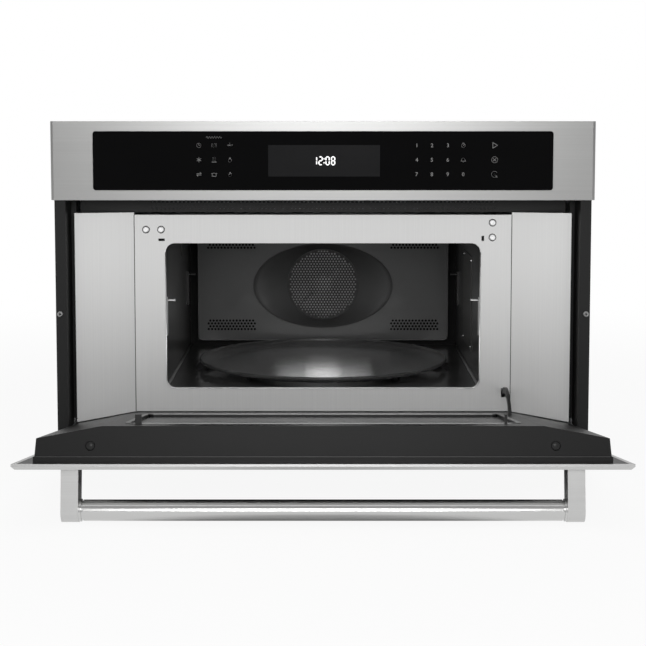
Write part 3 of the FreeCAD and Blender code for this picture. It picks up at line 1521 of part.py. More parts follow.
def handle_screws():
    pieces = []
    back = FACE_SHEET + POST_SCREW_HEAD_T
    for x, z in post_screw_spots():
        shank = prism_y(SMALL_SIDES, POST_SCREW_R, -POST_SCREW_LEN, FACE_SHEET, x, z)
        head = prism_y(SMALL_SIDES, POST_SCREW_HEAD_R, FACE_SHEET, back, x, z)
        pieces.append(fuse([shank, head]))
    return Part.makeCompound(pieces)


def door_parts():
    post = handle_post_right()
    return {
        "door_skin": door_skin(),
        "door_outer_glass": door_outer_glass(),
        "door_liner": door_liner(),
        "door_trim": door_trim(),
        "door_inner_glass": door_inner_glass(),
        "door_screen": door_screen(),
        "latch_hooks": latch_hooks(),
        "hinge_bushes": hinge_bushes(),
        "check_arm": check_arm(),
        "handle_bar": handle_bar(),
        "handle_post_right": post,
        "handle_post_left": mirror_x(post),
        "handle_screws": handle_screws(),
    }


def fixed_parts():
    frame = side_frame_right()
    panel = side_panel_right()
    hinge = hinge_bracket_right()
    return {
        "control_fascia": control_fascia(),
        "control_glass": control_glass(),
        "display_lens": lens_pocket(0),
        "control_board": control_board(),
        "control_carrier": control_carrier(),
        "vent_grille": vent_grille(),
        "side_frame_right": frame,
        "side_frame_left": mirror_x(frame),
        "front_frame": front_frame(),
        "frame_screws": frame_screws(),
        "side_panel_right": panel,
        "side_panel_left": mirror_x(panel),
        "cavity_wrapper": cavity_wrapper(),
        "cavity_floor": cavity_floor(),
        "cavity_back": cavity_back(),
        "fan_grille": fan_grille(),
        "fan_housing": fan_housing(),
        "convection_heater": convection_heater(),
        "fan_motor": fan_motor(),
        "rack_supports": rack_supports(),
        "waveguide_cover": waveguide_cover(),
        "waveguide": waveguide(),
        "magnetron": magnetron(),
        "hv_transformer": hv_transformer(),
        "hv_capacitor": hv_capacitor(),
        "blower_housing": blower_housing(),
        "cavity_lamp": cavity_lamp(),
        "turntable_motor": turntable_motor(),
        "base_plate": base_plate(),
        "outer_wrapper": outer_wrapper(),
        "rear_panel": rear_panel(),
        "supply_gland": supply_gland(),
        "lower_fascia": lower_fascia(),
        "cavity_brackets": cavity_brackets(),
        "hinge_bracket_right": hinge,
        "hinge_bracket_left": mirror_x(hinge),
        "interlock_switches": interlock_switches(),
    }


def moving_parts():
    left, right = hook_spots()
    parts = {
        "convection_fan": convection_fan(),
        "blower_wheel": blower_wheel(),
        "turntable_tray": turntable_tray(),
        "drive_coupler": drive_coupler(),
        "roller_ring": roller_ring(),
        "plunger_left": plunger(left),
        "plunger_right": plunger(right),
    }
    for i in range(3):
        parts[f"roller_{i + 1}"] = roller(i)
    return parts


def main():
    os.makedirs("parts", exist_ok=True)
    parts = fixed_parts()
    parts.update(moving_parts())
    for name, shape in door_parts().items():
        parts[name] = swing(shape)
    for name, shape in parts.items():
        shape.exportStep(f"parts/{name}.step")


main()
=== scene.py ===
import json
import math

import bmesh
import bpy
from mathutils import Matrix, Vector


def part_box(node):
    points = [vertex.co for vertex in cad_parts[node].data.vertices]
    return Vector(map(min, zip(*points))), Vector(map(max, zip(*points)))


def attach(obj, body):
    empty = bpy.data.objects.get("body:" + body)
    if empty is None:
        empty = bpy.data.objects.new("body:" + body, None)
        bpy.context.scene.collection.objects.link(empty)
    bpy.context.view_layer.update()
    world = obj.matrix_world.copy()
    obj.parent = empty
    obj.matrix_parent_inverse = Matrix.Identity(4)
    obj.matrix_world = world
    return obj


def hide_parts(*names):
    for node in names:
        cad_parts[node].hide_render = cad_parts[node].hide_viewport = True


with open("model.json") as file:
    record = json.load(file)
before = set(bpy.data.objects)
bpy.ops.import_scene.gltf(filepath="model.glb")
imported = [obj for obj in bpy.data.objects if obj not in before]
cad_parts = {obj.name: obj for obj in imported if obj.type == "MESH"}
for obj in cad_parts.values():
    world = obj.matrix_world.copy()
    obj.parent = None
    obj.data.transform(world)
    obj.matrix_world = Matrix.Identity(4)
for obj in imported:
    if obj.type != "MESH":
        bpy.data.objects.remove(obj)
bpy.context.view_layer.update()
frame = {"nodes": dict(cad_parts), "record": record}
NODES = frame["nodes"]

bl_info = {
    "name": "Built-in microwave looks",
    "version": (1, 0, 0),
    "blender": (4, 5, 0),
    "location": "3D View > Sidebar > Microwave",
    "description": "Finishes, fine pieces and studio for a built-in microwave with a drop-down door",
    "category": "Object",
}

MM = 0.001
FLAT_FRONT = Matrix.Rotation(math.radians(90), 4, "X")
FLAT_BACK = Matrix.Rotation(math.radians(-90), 4, "X")
FLAT_LEFT = Matrix.Rotation(math.radians(-90), 4, "Y")

# Places taken from the solids' own values
CABINET_SCREW_X = 369.2 * MM
CABINET_SCREW_Z = 226.0 * MM
FRAME_SCREW_DROP = 9.9 * MM
FRAME_SCREW_PITCH = 21.5 * MM
LIP_HALF = 225.0 * MM
LIP_BOTTOM = 112.4 * MM
LIP_TOP = 322.0 * MM
PANEL_HALF = 213.5 * MM
PANEL_BOTTOM = 119.0 * MM
PANEL_TOP = 316.0 * MM
RACK_FRONT = -200.0 * MM
DOOR_OPEN = math.radians(81.6)
BUMPER_X = 284.0 * MM
BUMPER_SPOT = (-599.9 * MM, 103.4 * MM)
LINER_HALF = 350.0 * MM
LINER_EDGE = (-603.3 * MM, 90.7 * MM)


class Value:
    """A shader socket that takes part in Python arithmetic."""

    def __init__(self, owner, socket):
        self.owner = owner
        self.socket = socket

    def combine(self, operation, first, second):
        return self.owner.node("ShaderNodeMath", {"operation": operation}, {0: first, 1: second})

    def __add__(self, other):
        return self.combine("ADD", self, other)

    def __radd__(self, other):
        return self.combine("ADD", other, self)

    def __rsub__(self, other):
        return self.combine("SUBTRACT", other, self)

    def __mul__(self, other):
        return self.combine("MULTIPLY", self, other)

    def __abs__(self):
        return self.combine("ABSOLUTE", self, 0.0)

    def above(self, limit):
        return self.combine("GREATER_THAN", self, limit)

    def below(self, limit):
        return self.combine("LESS_THAN", self, limit)

    def either(self, other):
        return self.combine("MAXIMUM", self, other)

    def axis(self, name):
        return self.owner.node("ShaderNodeSeparateXYZ", {}, {"Vector": self}, name)


class Tree:
    """A shader tree that nodes are added to."""

    def __init__(self, tree):
        self.tree = tree

    def put(self, socket, value):
        if isinstance(value, Value):
            self.tree.links.new(value.socket, socket)
        else:
            socket.default_value = value

    def node(self, kind, settings, sockets, out=0):
        made = self.tree.nodes.new(kind)
        for key, value in settings.items():
            if key == "stops":
                ramp_stops(made.color_ramp, value)
            else:
                setattr(made, key, value)
        for key, value in sockets.items():
            self.put(made.inputs[key], value)
        return Value(self, made.outputs[out])

    def blend(self, share, first, second):
        return self.node("ShaderNodeMix", {"data_type": "RGBA"}, {0: share, 6: first, 7: second}, 2)

    def place(self, kind="Object"):
        return self.node("ShaderNodeTexCoord", {}, {}, kind)

    def ray(self, kind):
        return self.node("ShaderNodeLightPath", {}, {}, f"Is {kind} Ray")


class Finish(Tree):
    """One procedural material, with the nodes that feed its shader."""

    def __init__(self, name, constants):
        self.material = bpy.data.materials.new(name)
        self.material.use_nodes = True
        super().__init__(self.material.node_tree)
        self.shader = self.tree.nodes["Principled BSDF"]
        for socket, value in constants.items():
            self.feed(socket, value)

    def feed(self, socket, value):
        self.put(self.shader.inputs[socket], value)

    def vary(self, share, colour, low, high, socket="Base Color"):
        """Feeds a colour that runs between two tints."""
        self.feed(socket, self.blend(share, tint(colour, low), tint(colour, high)))

    def noise(self, grain, detail):
        """Noise of one grain, or of a grain for each axis."""
        scale = grain if isinstance(grain, tuple) else (grain, grain, grain)
        point = self.node("ShaderNodeMapping", {}, {"Vector": self.place(), "Scale": scale})
        return self.node("ShaderNodeTexNoise", {}, {"Vector": point, "Scale": 1.0, "Detail": detail})

    def cells(self, scale, out):
        return self.node("ShaderNodeTexVoronoi", {}, {"Vector": self.place(), "Scale": scale}, out)

    def bump(self, height, strength, distance):
        sockets = {"Height": height, "Strength": strength, "Distance": distance}
        self.feed("Normal", self.node("ShaderNodeBump", {}, sockets))


def ramp_stops(ramp, stops):
    while len(ramp.elements) < len(stops):
        ramp.elements.new(0.5)
    for element, (position, colour) in zip(ramp.elements, stops):
        element.position = position
        element.color = colour


def grey(level):
    return (level, level, level, 1.0)


def tint(colour, factor):
    return tuple(min(1.0, part * factor) for part in colour[:3]) + (1.0,)


def brushed_steel(name, colour, roughness, grain):
    """Brushed sheet: hair lines along the axis whose grain is small."""
    finish = Finish(name, {"Metallic": 1.0})
    hair = finish.noise(grain, 3.0)
    cloud = finish.noise(6.0, 2.0)
    finish.vary(hair * 0.7 + cloud * 0.3, colour, 0.92, 1.08)
    finish.feed("Roughness", roughness - 0.04 + hair * 0.08)
    finish.bump(hair, 0.02, 0.1 * MM)
    return finish.material


def chrome(name, colour, roughness):
    """Bright metal with faint smears."""
    finish = Finish(name, {"Metallic": 1.0})
    smear = finish.noise(40.0, 4.0)
    finish.vary(smear, colour, 0.94, 1.05)
    finish.feed("Roughness", roughness + smear * 0.06)
    return finish.material


def paint(name, colour, roughness, grain, strength):
    """Sprayed or moulded surface with a fine peel."""
    finish = Finish(name, {"Specular IOR Level": 0.25})
    peel = finish.noise(grain, 2.0)
    finish.vary(finish.noise(9.0, 3.0), colour, 0.8, 1.2)
    finish.feed("Roughness", roughness - 0.05 + peel * 0.1)
    finish.bump(peel, strength, 0.2 * MM)
    return finish.material


def enamel(name, colour, roughness, coat=0.35, fleck=0.25, panel=None):
    """Oven enamel: dark ground, pale flecks and a wavy gloss, with painted shade beyond a panel's edges:
    dead black, dull and without coat in the recess round the panel.
    """
    finish = Finish(name, {"Coat Weight": coat, "Coat Roughness": 0.12})
    stops = [(0.05, grey(1.0)), (0.16, grey(0.0))]
    flecks = finish.node("ShaderNodeValToRGB", {"stops": stops}, {"Fac": finish.cells(900.0, "Distance")})
    cloud = finish.noise(14.0, 3.0)
    ground = finish.blend(cloud, tint(colour, 0.82), tint(colour, 1.18))
    shade = finish.blend(flecks * 0.35, ground, grey(fleck))
    rough = roughness + cloud * 0.1
    # Painted shade: the recess round the back panel is painted dead black, dull and without coat
    if panel:
        half, low, high = panel
        across = finish.place().axis("X")
        up = finish.place().axis("Z")
        recess_shade = abs(across).above(half).either(up.below(low) + up.above(high))
        shade = finish.blend(recess_shade, shade, grey(0.002))
        rough = rough + recess_shade * 0.5
        finish.feed("Coat Weight", coat - recess_shade * coat)
    finish.feed("Base Color", shade)
    finish.feed("Roughness", rough)
    finish.bump(cloud, 0.05, 0.5 * MM)
    return finish.material


def two_tone(name, limit, before, after):
    """Bright metal at the front and, beyond a depth, dull dark colour as painted shade at the back of the
    oven.
    """
    finish = Finish(name, {"Roughness": 0.3})
    past = finish.place().axis("Y").above(limit)
    finish.feed("Base Color", finish.blend(past, before, after))
    finish.feed("Metallic", 1.0 - past)
    return finish.material


def felt_black(name, colour):
    """Painted shade: dull black that takes no gloss, with a fine speckle, for sheets put where there is
    only shade.
    """
    finish = Finish(name, {"Specular IOR Level": 0.0, "Roughness": 1.0})
    speckle = finish.noise(1500.0, 2.0)
    finish.vary(speckle, colour, 0.6, 1.4)
    finish.bump(speckle, 0.3, 0.2 * MM)
    return finish.material


def dark_glass(name, colour, roughness, gloss=0.08):
    """Printed glass: nearly black, with faint wipe marks in the gloss."""
    finish = Finish(name, {"Specular IOR Level": gloss, "IOR": 1.5})
    wipe = finish.noise((12.0, 12.0, 30.0), 4.0)
    finish.vary(wipe, colour, 0.85, 1.15)
    finish.feed("Roughness", roughness + wipe * 0.04)
    return finish.material


def clear_glass(name, colour, roughness, index=1.5):
    """Glass that light passes, with faint wipe marks."""
    finish = Finish(name, {"Transmission Weight": 0.85, "IOR": index})
    wipe = finish.noise(20.0, 3.0)
    finish.vary(wipe, colour, 0.95, 1.05)
    finish.feed("Roughness", roughness + wipe * 0.03)
    return finish.material


def zinc_sheet(name, colour):
    """Galvanised sheet with crystal spangle."""
    finish = Finish(name, {"Metallic": 0.9})
    level = finish.node("ShaderNodeSeparateColor", {}, {"Color": finish.cells(130.0, "Color")})
    finish.vary(level, colour, 0.92, 1.08)
    finish.feed("Roughness", 0.5 + level * 0.08)
    return finish.material


def laminations(name, colour):
    """Stack of thin steel sheets seen on edge."""
    finish = Finish(name, {"Metallic": 0.6, "Roughness": 0.5})
    sockets = {"Vector": finish.place(), "Scale": 180.0, "Distortion": 0.4}
    sheets = finish.node("ShaderNodeTexWave", {"bands_direction": "Y"}, sockets)
    finish.vary(sheets, colour, 0.6, 1.4)
    finish.bump(sheets, 0.3, 0.3 * MM)
    return finish.material


def lit_print(name, colour, strength):
    """Print that shines by itself with a strength."""
    finish = Finish(name, {"Roughness": 0.5, "Emission Strength": strength})
    tone = finish.noise(300.0, 1.0)
    for socket in ("Base Color", "Emission Color"):
        finish.vary(tone, colour, 0.96, 1.0, socket)
    return finish.material


def metres(name, description, default):
    return bpy.props.FloatProperty(
        name=name, description=description, default=default, unit="LENGTH", subtype="DISTANCE", precision=5
    )


def paint_colour(name, description, default):
    return bpy.props.FloatVectorProperty(
        name=name, description=description, default=default, subtype="COLOR", size=3, min=0.0, max=1.0
    )


class MicrowaveFinishes(bpy.types.PropertyGroup):
    """Colours of the finishes."""

    fascia: paint_colour("Fascia", "Brushed sheet of the fascia", (0.39, 0.39, 0.386))
    stainless: paint_colour("Stainless", "Brushed sheet of the door and its handle", (0.6, 0.6, 0.595))
    frame_sheet: paint_colour("Frame sheet", "Brushed sheet round the opening", (0.78, 0.78, 0.775))
    panel_glass: paint_colour("Panel glass", "Printed glass of the control panel", (0.003, 0.003, 0.0033))
    display: paint_colour("Display", "Unlit window of the clock", (0.022, 0.022, 0.023))
    black_paint: paint_colour("Black paint", "Side frames and vent strip", (0.014, 0.014, 0.014))
    door_liner: paint_colour("Door liner", "Inner face of the door", (0.006, 0.006, 0.006))
    cavity: paint_colour("Oven enamel", "Walls of the oven", (0.05, 0.05, 0.05))
    print_tone: paint_colour("Key print", "Numbers and signs on the panel", (0.36, 0.36, 0.36))


class MicrowaveSizes(bpy.types.PropertyGroup):
    """Sizes of the fine pieces."""

    digit_height: metres("Digit height", "Height of the numbers of the keypad", 0.0052)
    sign_height: metres("Sign height", "Height of the signs of the keypad", 0.0062)
    big_sign_height: metres("Main sign height", "Height of the three signs on the right", 0.0085)
    stroke_width: metres("Stroke width", "Width of the lines of the signs", 0.0006)
    print_depth: metres("Print depth", "How far print stands on the glass", 0.00008)
    clock_height: metres("Clock height", "Height of the lit clock numerals", 0.0126)
    clock_width: metres("Clock numeral width", "Width of one lit numeral", 0.0062)
    clock_stroke: metres("Clock stroke", "Width of one lit bar", 0.0017)
    disc_pitch: metres("Disc hole pitch", "From hole to hole in the fan disc", 0.00505)
    disc_hole: metres("Disc hole radius", "Radius of the holes of the fan disc", 0.00155)
    disc_rim: metres("Disc rim", "Width of the plain rim of the fan disc", 0.0012)
    bowl_half_width: metres("Bowl half width", "Half the width of the fan bowl's mouth", 0.1182)
    bowl_half_height: metres("Bowl half height", "Half the height of the fan bowl's mouth", 0.0715)
    field_width: metres("Vent field width", "Width of the four fields of holes", 0.0845)
    field_height: metres("Vent field height", "Height of the four fields of holes", 0.0196)
    field_x: metres("Vent field place", "From the middle to a field of holes", 0.156)
    field_low: metres("Lower field height", "Height of the lower fields of holes", 0.1456)
    field_high: metres("Upper field height", "Height of the upper fields of holes", 0.2854)
    strip_half: metres("Vent screen half", "Half the width of the screen under the fascia", 0.252)
    screw_head: metres("Screw head", "Radius of the sheet screws' heads", 0.0042)
    field_hole: metres("Vent hole radius", "Radius of the holes of the four fields", 0.00205)
    bumper: metres("Bumper radius", "Radius of the bumpers of the door", 0.0057)
    rivet: metres("Rivet radius", "Radius of the rivets of the waveguide cover", 0.0022)
    lip: metres("Lip radius", "Radius of the rolled lip of the opening", 0.0011)


def finishes():
    return bpy.context.scene.microwave_finishes


def sizes():
    return bpy.context.scene.microwave_sizes


def dress(node, material):
    """Gives a CAD node one finish."""
    slots = NODES[node].data.materials
    slots.clear()
    slots.append(material)


def finish_object(name, shapes, material, body="chassis"):
    """Makes a piece that rides on a body from a finished bmesh."""
    mesh = bpy.data.meshes.new(name)
    shapes.to_mesh(mesh)
    shapes.free()
    mesh.materials.append(material)
    piece = bpy.data.objects.new(name, mesh)
    bpy.context.scene.collection.objects.link(piece)
    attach(piece, body)
    return piece


def clean(shapes):
    """Merges doubles and turns every face outward."""
    bmesh.ops.remove_doubles(shapes, verts=shapes.verts, dist=1e-6)
    bmesh.ops.recalc_face_normals(shapes, faces=shapes.faces)


def smooth(shapes, limit=math.tau):
    """Shades every face smooth, with sharp edges past an angle."""
    for face in shapes.faces:
        face.smooth = True
    for edge in shapes.edges:
        edge.smooth = edge.calc_face_angle(0.0) < limit


def lathe(shapes, outline, place, steps):
    """Turns an outline of radius and height round the Z axis, then puts it in place."""
    turned = bmesh.new()
    corners = [turned.verts.new((radius, 0.0, height)) for radius, height in outline]
    edges = [turned.edges.new(pair) for pair in zip(corners, corners[1:])]
    bmesh.ops.spin(
        turned, geom=corners + edges, axis=(0.0, 0.0, 1.0), cent=(0.0, 0.0, 0.0), angle=math.tau,
        steps=steps, use_merge=True,
    )
    clean(turned)
    turned.transform(place)
    join(shapes, turned)


def add_mesh(shapes, mesh):
    """Adds a mesh to a bmesh and removes it."""
    shapes.from_mesh(mesh)
    bpy.data.meshes.remove(mesh)


def as_mesh(curve):
    """Turns words or a curve into a mesh and removes the curve."""
    holder = bpy.data.objects.new(curve.name, curve)
    bpy.context.scene.collection.objects.link(holder)
    bpy.context.view_layer.update()
    mesh = bpy.data.meshes.new_from_object(holder)
    bpy.data.objects.remove(holder)
    bpy.data.curves.remove(curve)
    return mesh


def join(shapes, extra):
    """Moves the shapes of one bmesh into another."""
    mesh = bpy.data.meshes.new("joined")
    extra.to_mesh(mesh)
    extra.free()
    add_mesh(shapes, mesh)


def corners_of(geometry):
    """The vertices among what an operator made."""
    return [part for part in geometry if isinstance(part, bmesh.types.BMVert)]


def slab(shapes, outline, y_front, y_back):
    """Flat piece facing the front, from an outline across and up."""
    face = shapes.faces.new([shapes.verts.new((x, y_front, z)) for x, z in outline])
    grown = bmesh.ops.extrude_face_region(shapes, geom=[face])["geom"]
    bmesh.ops.translate(shapes, verts=corners_of(grown), vec=(0.0, y_back - y_front, 0.0))


def grow(shapes, ring, scale, rise):
    """Extrudes the edges of a ring, then scales the new ring and lifts it."""
    inside = set(ring)
    edges = [edge for edge in shapes.edges if inside.issuperset(edge.verts)]
    ring = corners_of(bmesh.ops.extrude_edge_only(shapes, edges=edges)["geom"])
    bmesh.ops.scale(shapes, verts=ring, vec=scale)
    bmesh.ops.translate(shapes, verts=ring, vec=(0.0, 0.0, rise))
    return ring


def rectangle(x0, x1, z0, z1):
    """Corners of a rectangle, across and up."""
    return ((x0, z0), (x1, z0), (x1, z1), (x0, z1))


def stroke(shapes, points, y_front, y_back):
    """Line of flat bars through the points, across and up."""
    half = sizes().stroke_width / 2
    for (x0, z0), (x1, z1) in zip(points, points[1:]):
        along = Vector((x1 - x0, z1 - z0)).normalized() * half
        side = Vector((-along.y, along.x))
        start = Vector((x0, z0)) - along
        end = Vector((x1, z1)) + along
        slab(shapes, (start + side, end + side, end - side, start - side), y_front, y_back)


def cell(half_x, half_z, hole, across=2):
    """One cell of a sheet that faces the front, plain or with an eight-sided hole."""
    made = bmesh.new()
    bmesh.ops.create_grid(made, x_segments=across, y_segments=2, size=1.0)
    bmesh.ops.scale(made, verts=made.verts, vec=(half_x, half_z, 1.0))
    if hole:
        middle = min(made.verts, key=lambda vertex: vertex.co.length)
        bmesh.ops.delete(made, geom=[middle], context="VERTS")
        bmesh.ops.create_circle(made, segments=8, radius=hole)
        bmesh.ops.bridge_loops(made, edges=made.edges)
    made.transform(FLAT_FRONT)
    return made


def spread(sheet, made, spots):
    """Copies a cell to spots, across and up, of a sheet."""
    mesh = bpy.data.meshes.new("cell")
    made.to_mesh(mesh)
    made.free()
    for x, z in spots:
        first = len(sheet.verts)
        sheet.from_mesh(mesh)
        sheet.verts.ensure_lookup_table()
        bmesh.ops.translate(sheet, verts=sheet.verts[first:], vec=(x, 0.0, z))
    bpy.data.meshes.remove(mesh)


def hole_field(columns, rows, width, height, hole):
    """Perforated sheet of staggered rows round the origin."""
    half_x = width / columns / 2
    half_z = height / rows / 2
    holes = []
    ends = []
    for row in range(rows):
        z = (2 * row + 1) * half_z - height / 2
        shifted = row % 2
        for column in range(columns - shifted):
            holes.append(((2 * column + 1 + shifted) * half_x - width / 2, z))
        if shifted:
            ends += [(side * (width - half_x) / 2, z) for side in (-1, 1)]
    sheet = bmesh.new()
    spread(sheet, cell(half_x, half_z, hole), holes)
    spread(sheet, cell(half_x / 2, half_z, 0.0, across=1), ends)
    return sheet


def thicken(sheet, thickness, place):
    """Gives a sheet at Y 0 its thickness and puts it in place."""
    clean(sheet)
    front = [face for face in sheet.faces if face.normal.y > 0]
    bmesh.ops.reverse_faces(sheet, faces=front)
    bmesh.ops.solidify(sheet, geom=list(sheet.faces), thickness=-thickness)
    clean(sheet)
    low = min(vertex.co.y for vertex in sheet.verts)
    sheet.transform(Matrix.Translation(place) @ Matrix.Translation((0.0, -low, 0.0)))


def pan_head(shapes, place, radius, height):
    """Pan head with a cross recess, standing on Z 0 before it is put in place."""
    arm = radius * 0.5
    slot = radius * 0.14
    flat = radius * 0.72
    head = bmesh.new()
    bmesh.ops.create_grid(head, x_segments=3, y_segments=3, size=1.0)
    for vertex in head.verts:
        for axis in (0, 1):
            reach = arm if abs(vertex.co[axis]) > 0.5 else slot
            vertex.co[axis] = math.copysign(reach, vertex.co[axis])
    corners = [face for face in head.faces if min(map(abs, face.calc_center_median().xy)) > slot]
    bmesh.ops.delete(head, geom=corners, context="FACES")
    cross = list(head.faces)
    ring = bmesh.ops.create_circle(head, segments=12, radius=flat)["verts"]
    bmesh.ops.rotate(head, verts=ring, matrix=Matrix.Rotation(math.radians(15), 3, "Z"))
    bmesh.ops.bridge_loops(head, edges=[edge for edge in head.edges if len(edge.link_faces) < 2])
    sunk = bmesh.ops.extrude_face_region(head, geom=cross)["geom"]
    bmesh.ops.delete(head, geom=cross, context="FACES")
    bmesh.ops.translate(head, verts=corners_of(sunk), vec=(0.0, 0.0, -0.6 * height))
    before = flat
    for reach, drop in ((0.93 * radius, 0.25 * height), (radius, 0.35 * height), (radius, 0.4 * height)):
        ring = grow(head, ring, (reach / before, reach / before, 1.0), -drop)
        before = reach
    bmesh.ops.holes_fill(head, edges=[edge for edge in head.edges if edge.is_boundary], sides=0)
    clean(head)
    head.transform(place @ Matrix.Translation((0.0, 0.0, height)))
    join(shapes, head)


def hex_head(shapes, place, radius, height):
    """Hexagon head on its washer, standing on Z 0 before it is put in place."""
    head = bmesh.new()
    washer = 0.3 * height
    low = Matrix.Translation((0.0, 0.0, washer / 2))
    high = Matrix.Translation((0.0, 0.0, (height + washer) / 2))
    bmesh.ops.create_cone(
        head, cap_ends=True, segments=24, radius1=radius, radius2=0.94 * radius, depth=washer, matrix=low
    )
    bmesh.ops.create_cone(
        head, cap_ends=True, segments=6, radius1=0.7 * radius, radius2=0.66 * radius,
        depth=height - washer, matrix=high,
    )
    head.transform(place)
    join(shapes, head)


def bar(shapes, path, radius, closed=False):
    """Round bar along a path."""
    curve = bpy.data.curves.new("bar", "CURVE")
    curve.dimensions = "3D"
    curve.bevel_depth = radius
    curve.bevel_resolution = 2
    curve.use_fill_caps = True
    line = curve.splines.new("POLY")
    line.points.add(len(path) - 1)
    for point, spot in zip(line.points, path):
        point.co = (*spot, 1.0)
    line.use_cyclic_u = closed
    add_mesh(shapes, as_mesh(curve))
    clean(shapes)


def add_text(shapes, words, height, centre):
    """Adds words, standing on a front plane, to a bmesh."""
    curve = bpy.data.curves.new("words", "FONT")
    curve.body = words
    curve.align_x = "CENTER"
    curve.align_y = "CENTER"
    curve.extrude = sizes().print_depth / height
    curve.resolution_u = 3
    mesh = as_mesh(curve)
    low = min(v.co.y for v in mesh.vertices)
    high = max(v.co.y for v in mesh.vertices)
    middle = (min(v.co.x for v in mesh.vertices) + max(v.co.x for v in mesh.vertices)) / 2
    scale = height / (high - low)
    mesh.transform(Matrix.Translation((-middle, -(low + high) / 2, 0)))
    mesh.transform(Matrix.Translation(centre) @ FLAT_FRONT @ Matrix.Scale(scale, 4))
    add_mesh(shapes, mesh)


# Grain of brushed sheet for each axis, with hair lines across or upright
ACROSS = (4.0, 900.0, 900.0)
UPRIGHT = (900.0, 900.0, 4.0)


class MICROWAVE_OT_finishes(bpy.types.Operator):
    """Gives every CAD node its finish"""

    bl_idname = "microwave.finishes"
    bl_label = "Finishes"

    def execute(self, context):
        tones = finishes()
        by_slot = {
            "stainless": brushed_steel("stainless_brushed_across", tones.stainless, 0.3, ACROSS),
            "panel_glass": dark_glass("panel_glass", tones.panel_glass, 0.03),
            "display": dark_glass("display_window", tones.display, 0.08),
            "door_glass": dark_glass("door_glass", grey(0.006), 0.02),
            "tray_glass": clear_glass("tray_glass", grey(0.32), 0.18, 1.3),
            "black_paint": paint("black_satin_paint", tones.black_paint, 0.42, 900.0, 0.15),
            "cavity_enamel": enamel("oven_enamel", tones.cavity, 0.3),
            "chrome": chrome("bright_trim", grey(0.72), 0.1),
            "zinc_sheet": zinc_sheet("galvanised_sheet", (0.5, 0.51, 0.52)),
            "screw_steel": chrome("plated_screw", grey(0.6), 0.25),
            "heater_steel": brushed_steel("heater_oxide", (0.2, 0.2, 0.21), 0.45, 300.0),
            "grey_plastic": paint("moulded_plastic", grey(0.04), 0.5, 1600.0, 0.25),
            "board": paint("board_laminate", (0.02, 0.12, 0.05), 0.4, 700.0, 0.2),
            "mica": paint("mica_sheet", (0.06, 0.06, 0.058), 0.35, 500.0, 0.3),
            "core_steel": laminations("core_laminations", (0.12, 0.1, 0.09)),
            "capacitor_can": chrome("capacitor_can", grey(0.6), 0.3),
            "lamp_glass": clear_glass("lamp_glass", (0.8, 0.8, 0.78), 0.03),
        }
        for row in frame["record"]["subparts"]:
            dress(row["node"], by_slot[row["material_slot"]])
        sheet = brushed_steel("stainless_brushed_upright", tones.frame_sheet, 0.6, UPRIGHT)
        # Edges of the back panel, beyond which the back enamel carries painted shade for the recess
        panel = (PANEL_HALF, PANEL_BOTTOM, PANEL_TOP)
        fascia = brushed_steel("fascia_brushed_across", tones.fascia, 0.3, ACROSS)
        by_node = {
            "front_frame": sheet,
            "side_panel_left": sheet,
            "side_panel_right": sheet,
            "control_fascia": fascia,
            "lower_fascia": fascia,
            "door_liner": paint("door_liner_enamel", tones.door_liner, 0.38, 1400.0, 0.2),
            "handle_bar": brushed_steel("handle_brushed_across", tones.stainless, 0.2, ACROSS),
            "cavity_floor": enamel("floor_enamel", tones.cavity, 0.25, coat=0.8),
            "cavity_back": enamel("back_enamel_with_recess_shade", tones.cavity, 0.38, coat=0.12, panel=panel),
            "check_arm": by_slot["black_paint"],
            # Painted shade: the rack wire turns dark and dull at the back of the oven
            "rack_supports": two_tone("rack_wire", RACK_FRONT, grey(0.75), grey(0.015)),
            "door_trim": chrome("door_trim_steel", grey(0.22), 0.35),
            "door_inner_glass": dark_glass("door_inner_glass", grey(0.006), 0.18, 0.06),
            "convection_fan": chrome("fan_aluminium", grey(0.3), 0.4),
        }
        for node, material in by_node.items():
            dress(node, material)
        return {"FINISHED"}


def circle(x, z, radius, start=0.0, end=360.0, steps=24):
    """Points of an arc, across and up, in degrees from the right."""
    points = []
    for step in range(steps + 1):
        turn = math.radians(start + (end - start) * step / steps)
        points.append((x + radius * math.cos(turn), z + radius * math.sin(turn)))
    return points


def rounded(half, low, high, corner, steps, quarters):
    """Arcs round the corners of a rectangle, by quarter turns from the upper right."""
    points = []
    for quarter in quarters:
        x = half - corner if quarter in (0, 3) else corner - half
        z = high - corner if quarter in (0, 1) else low + corner
        points += circle(x, z, corner, 90 * quarter, 90 * quarter + 90, steps)
    return points


def ripple(x, z, length, height, turns, upright=False):
    """Points of a wavy line round a middle, across or upright."""
    points = []
    for step in range(8 * turns + 1):
        along = length * (step / (8 * turns) - 0.5)
        swing = height * math.sin(math.pi * step / 4)
        points.append((x + swing, z + along) if upright else (x + along, z + swing))
    return points


def star(arms):
    """Straight lines through the middle of a sign."""
    lines = []
    for arm in range(arms):
        turn = math.pi * arm / arms + math.pi / 2
        x = 0.5 * math.cos(turn)
        z = 0.5 * math.sin(turn)
        lines.append([(-x, -z), (x, z)])
    return lines


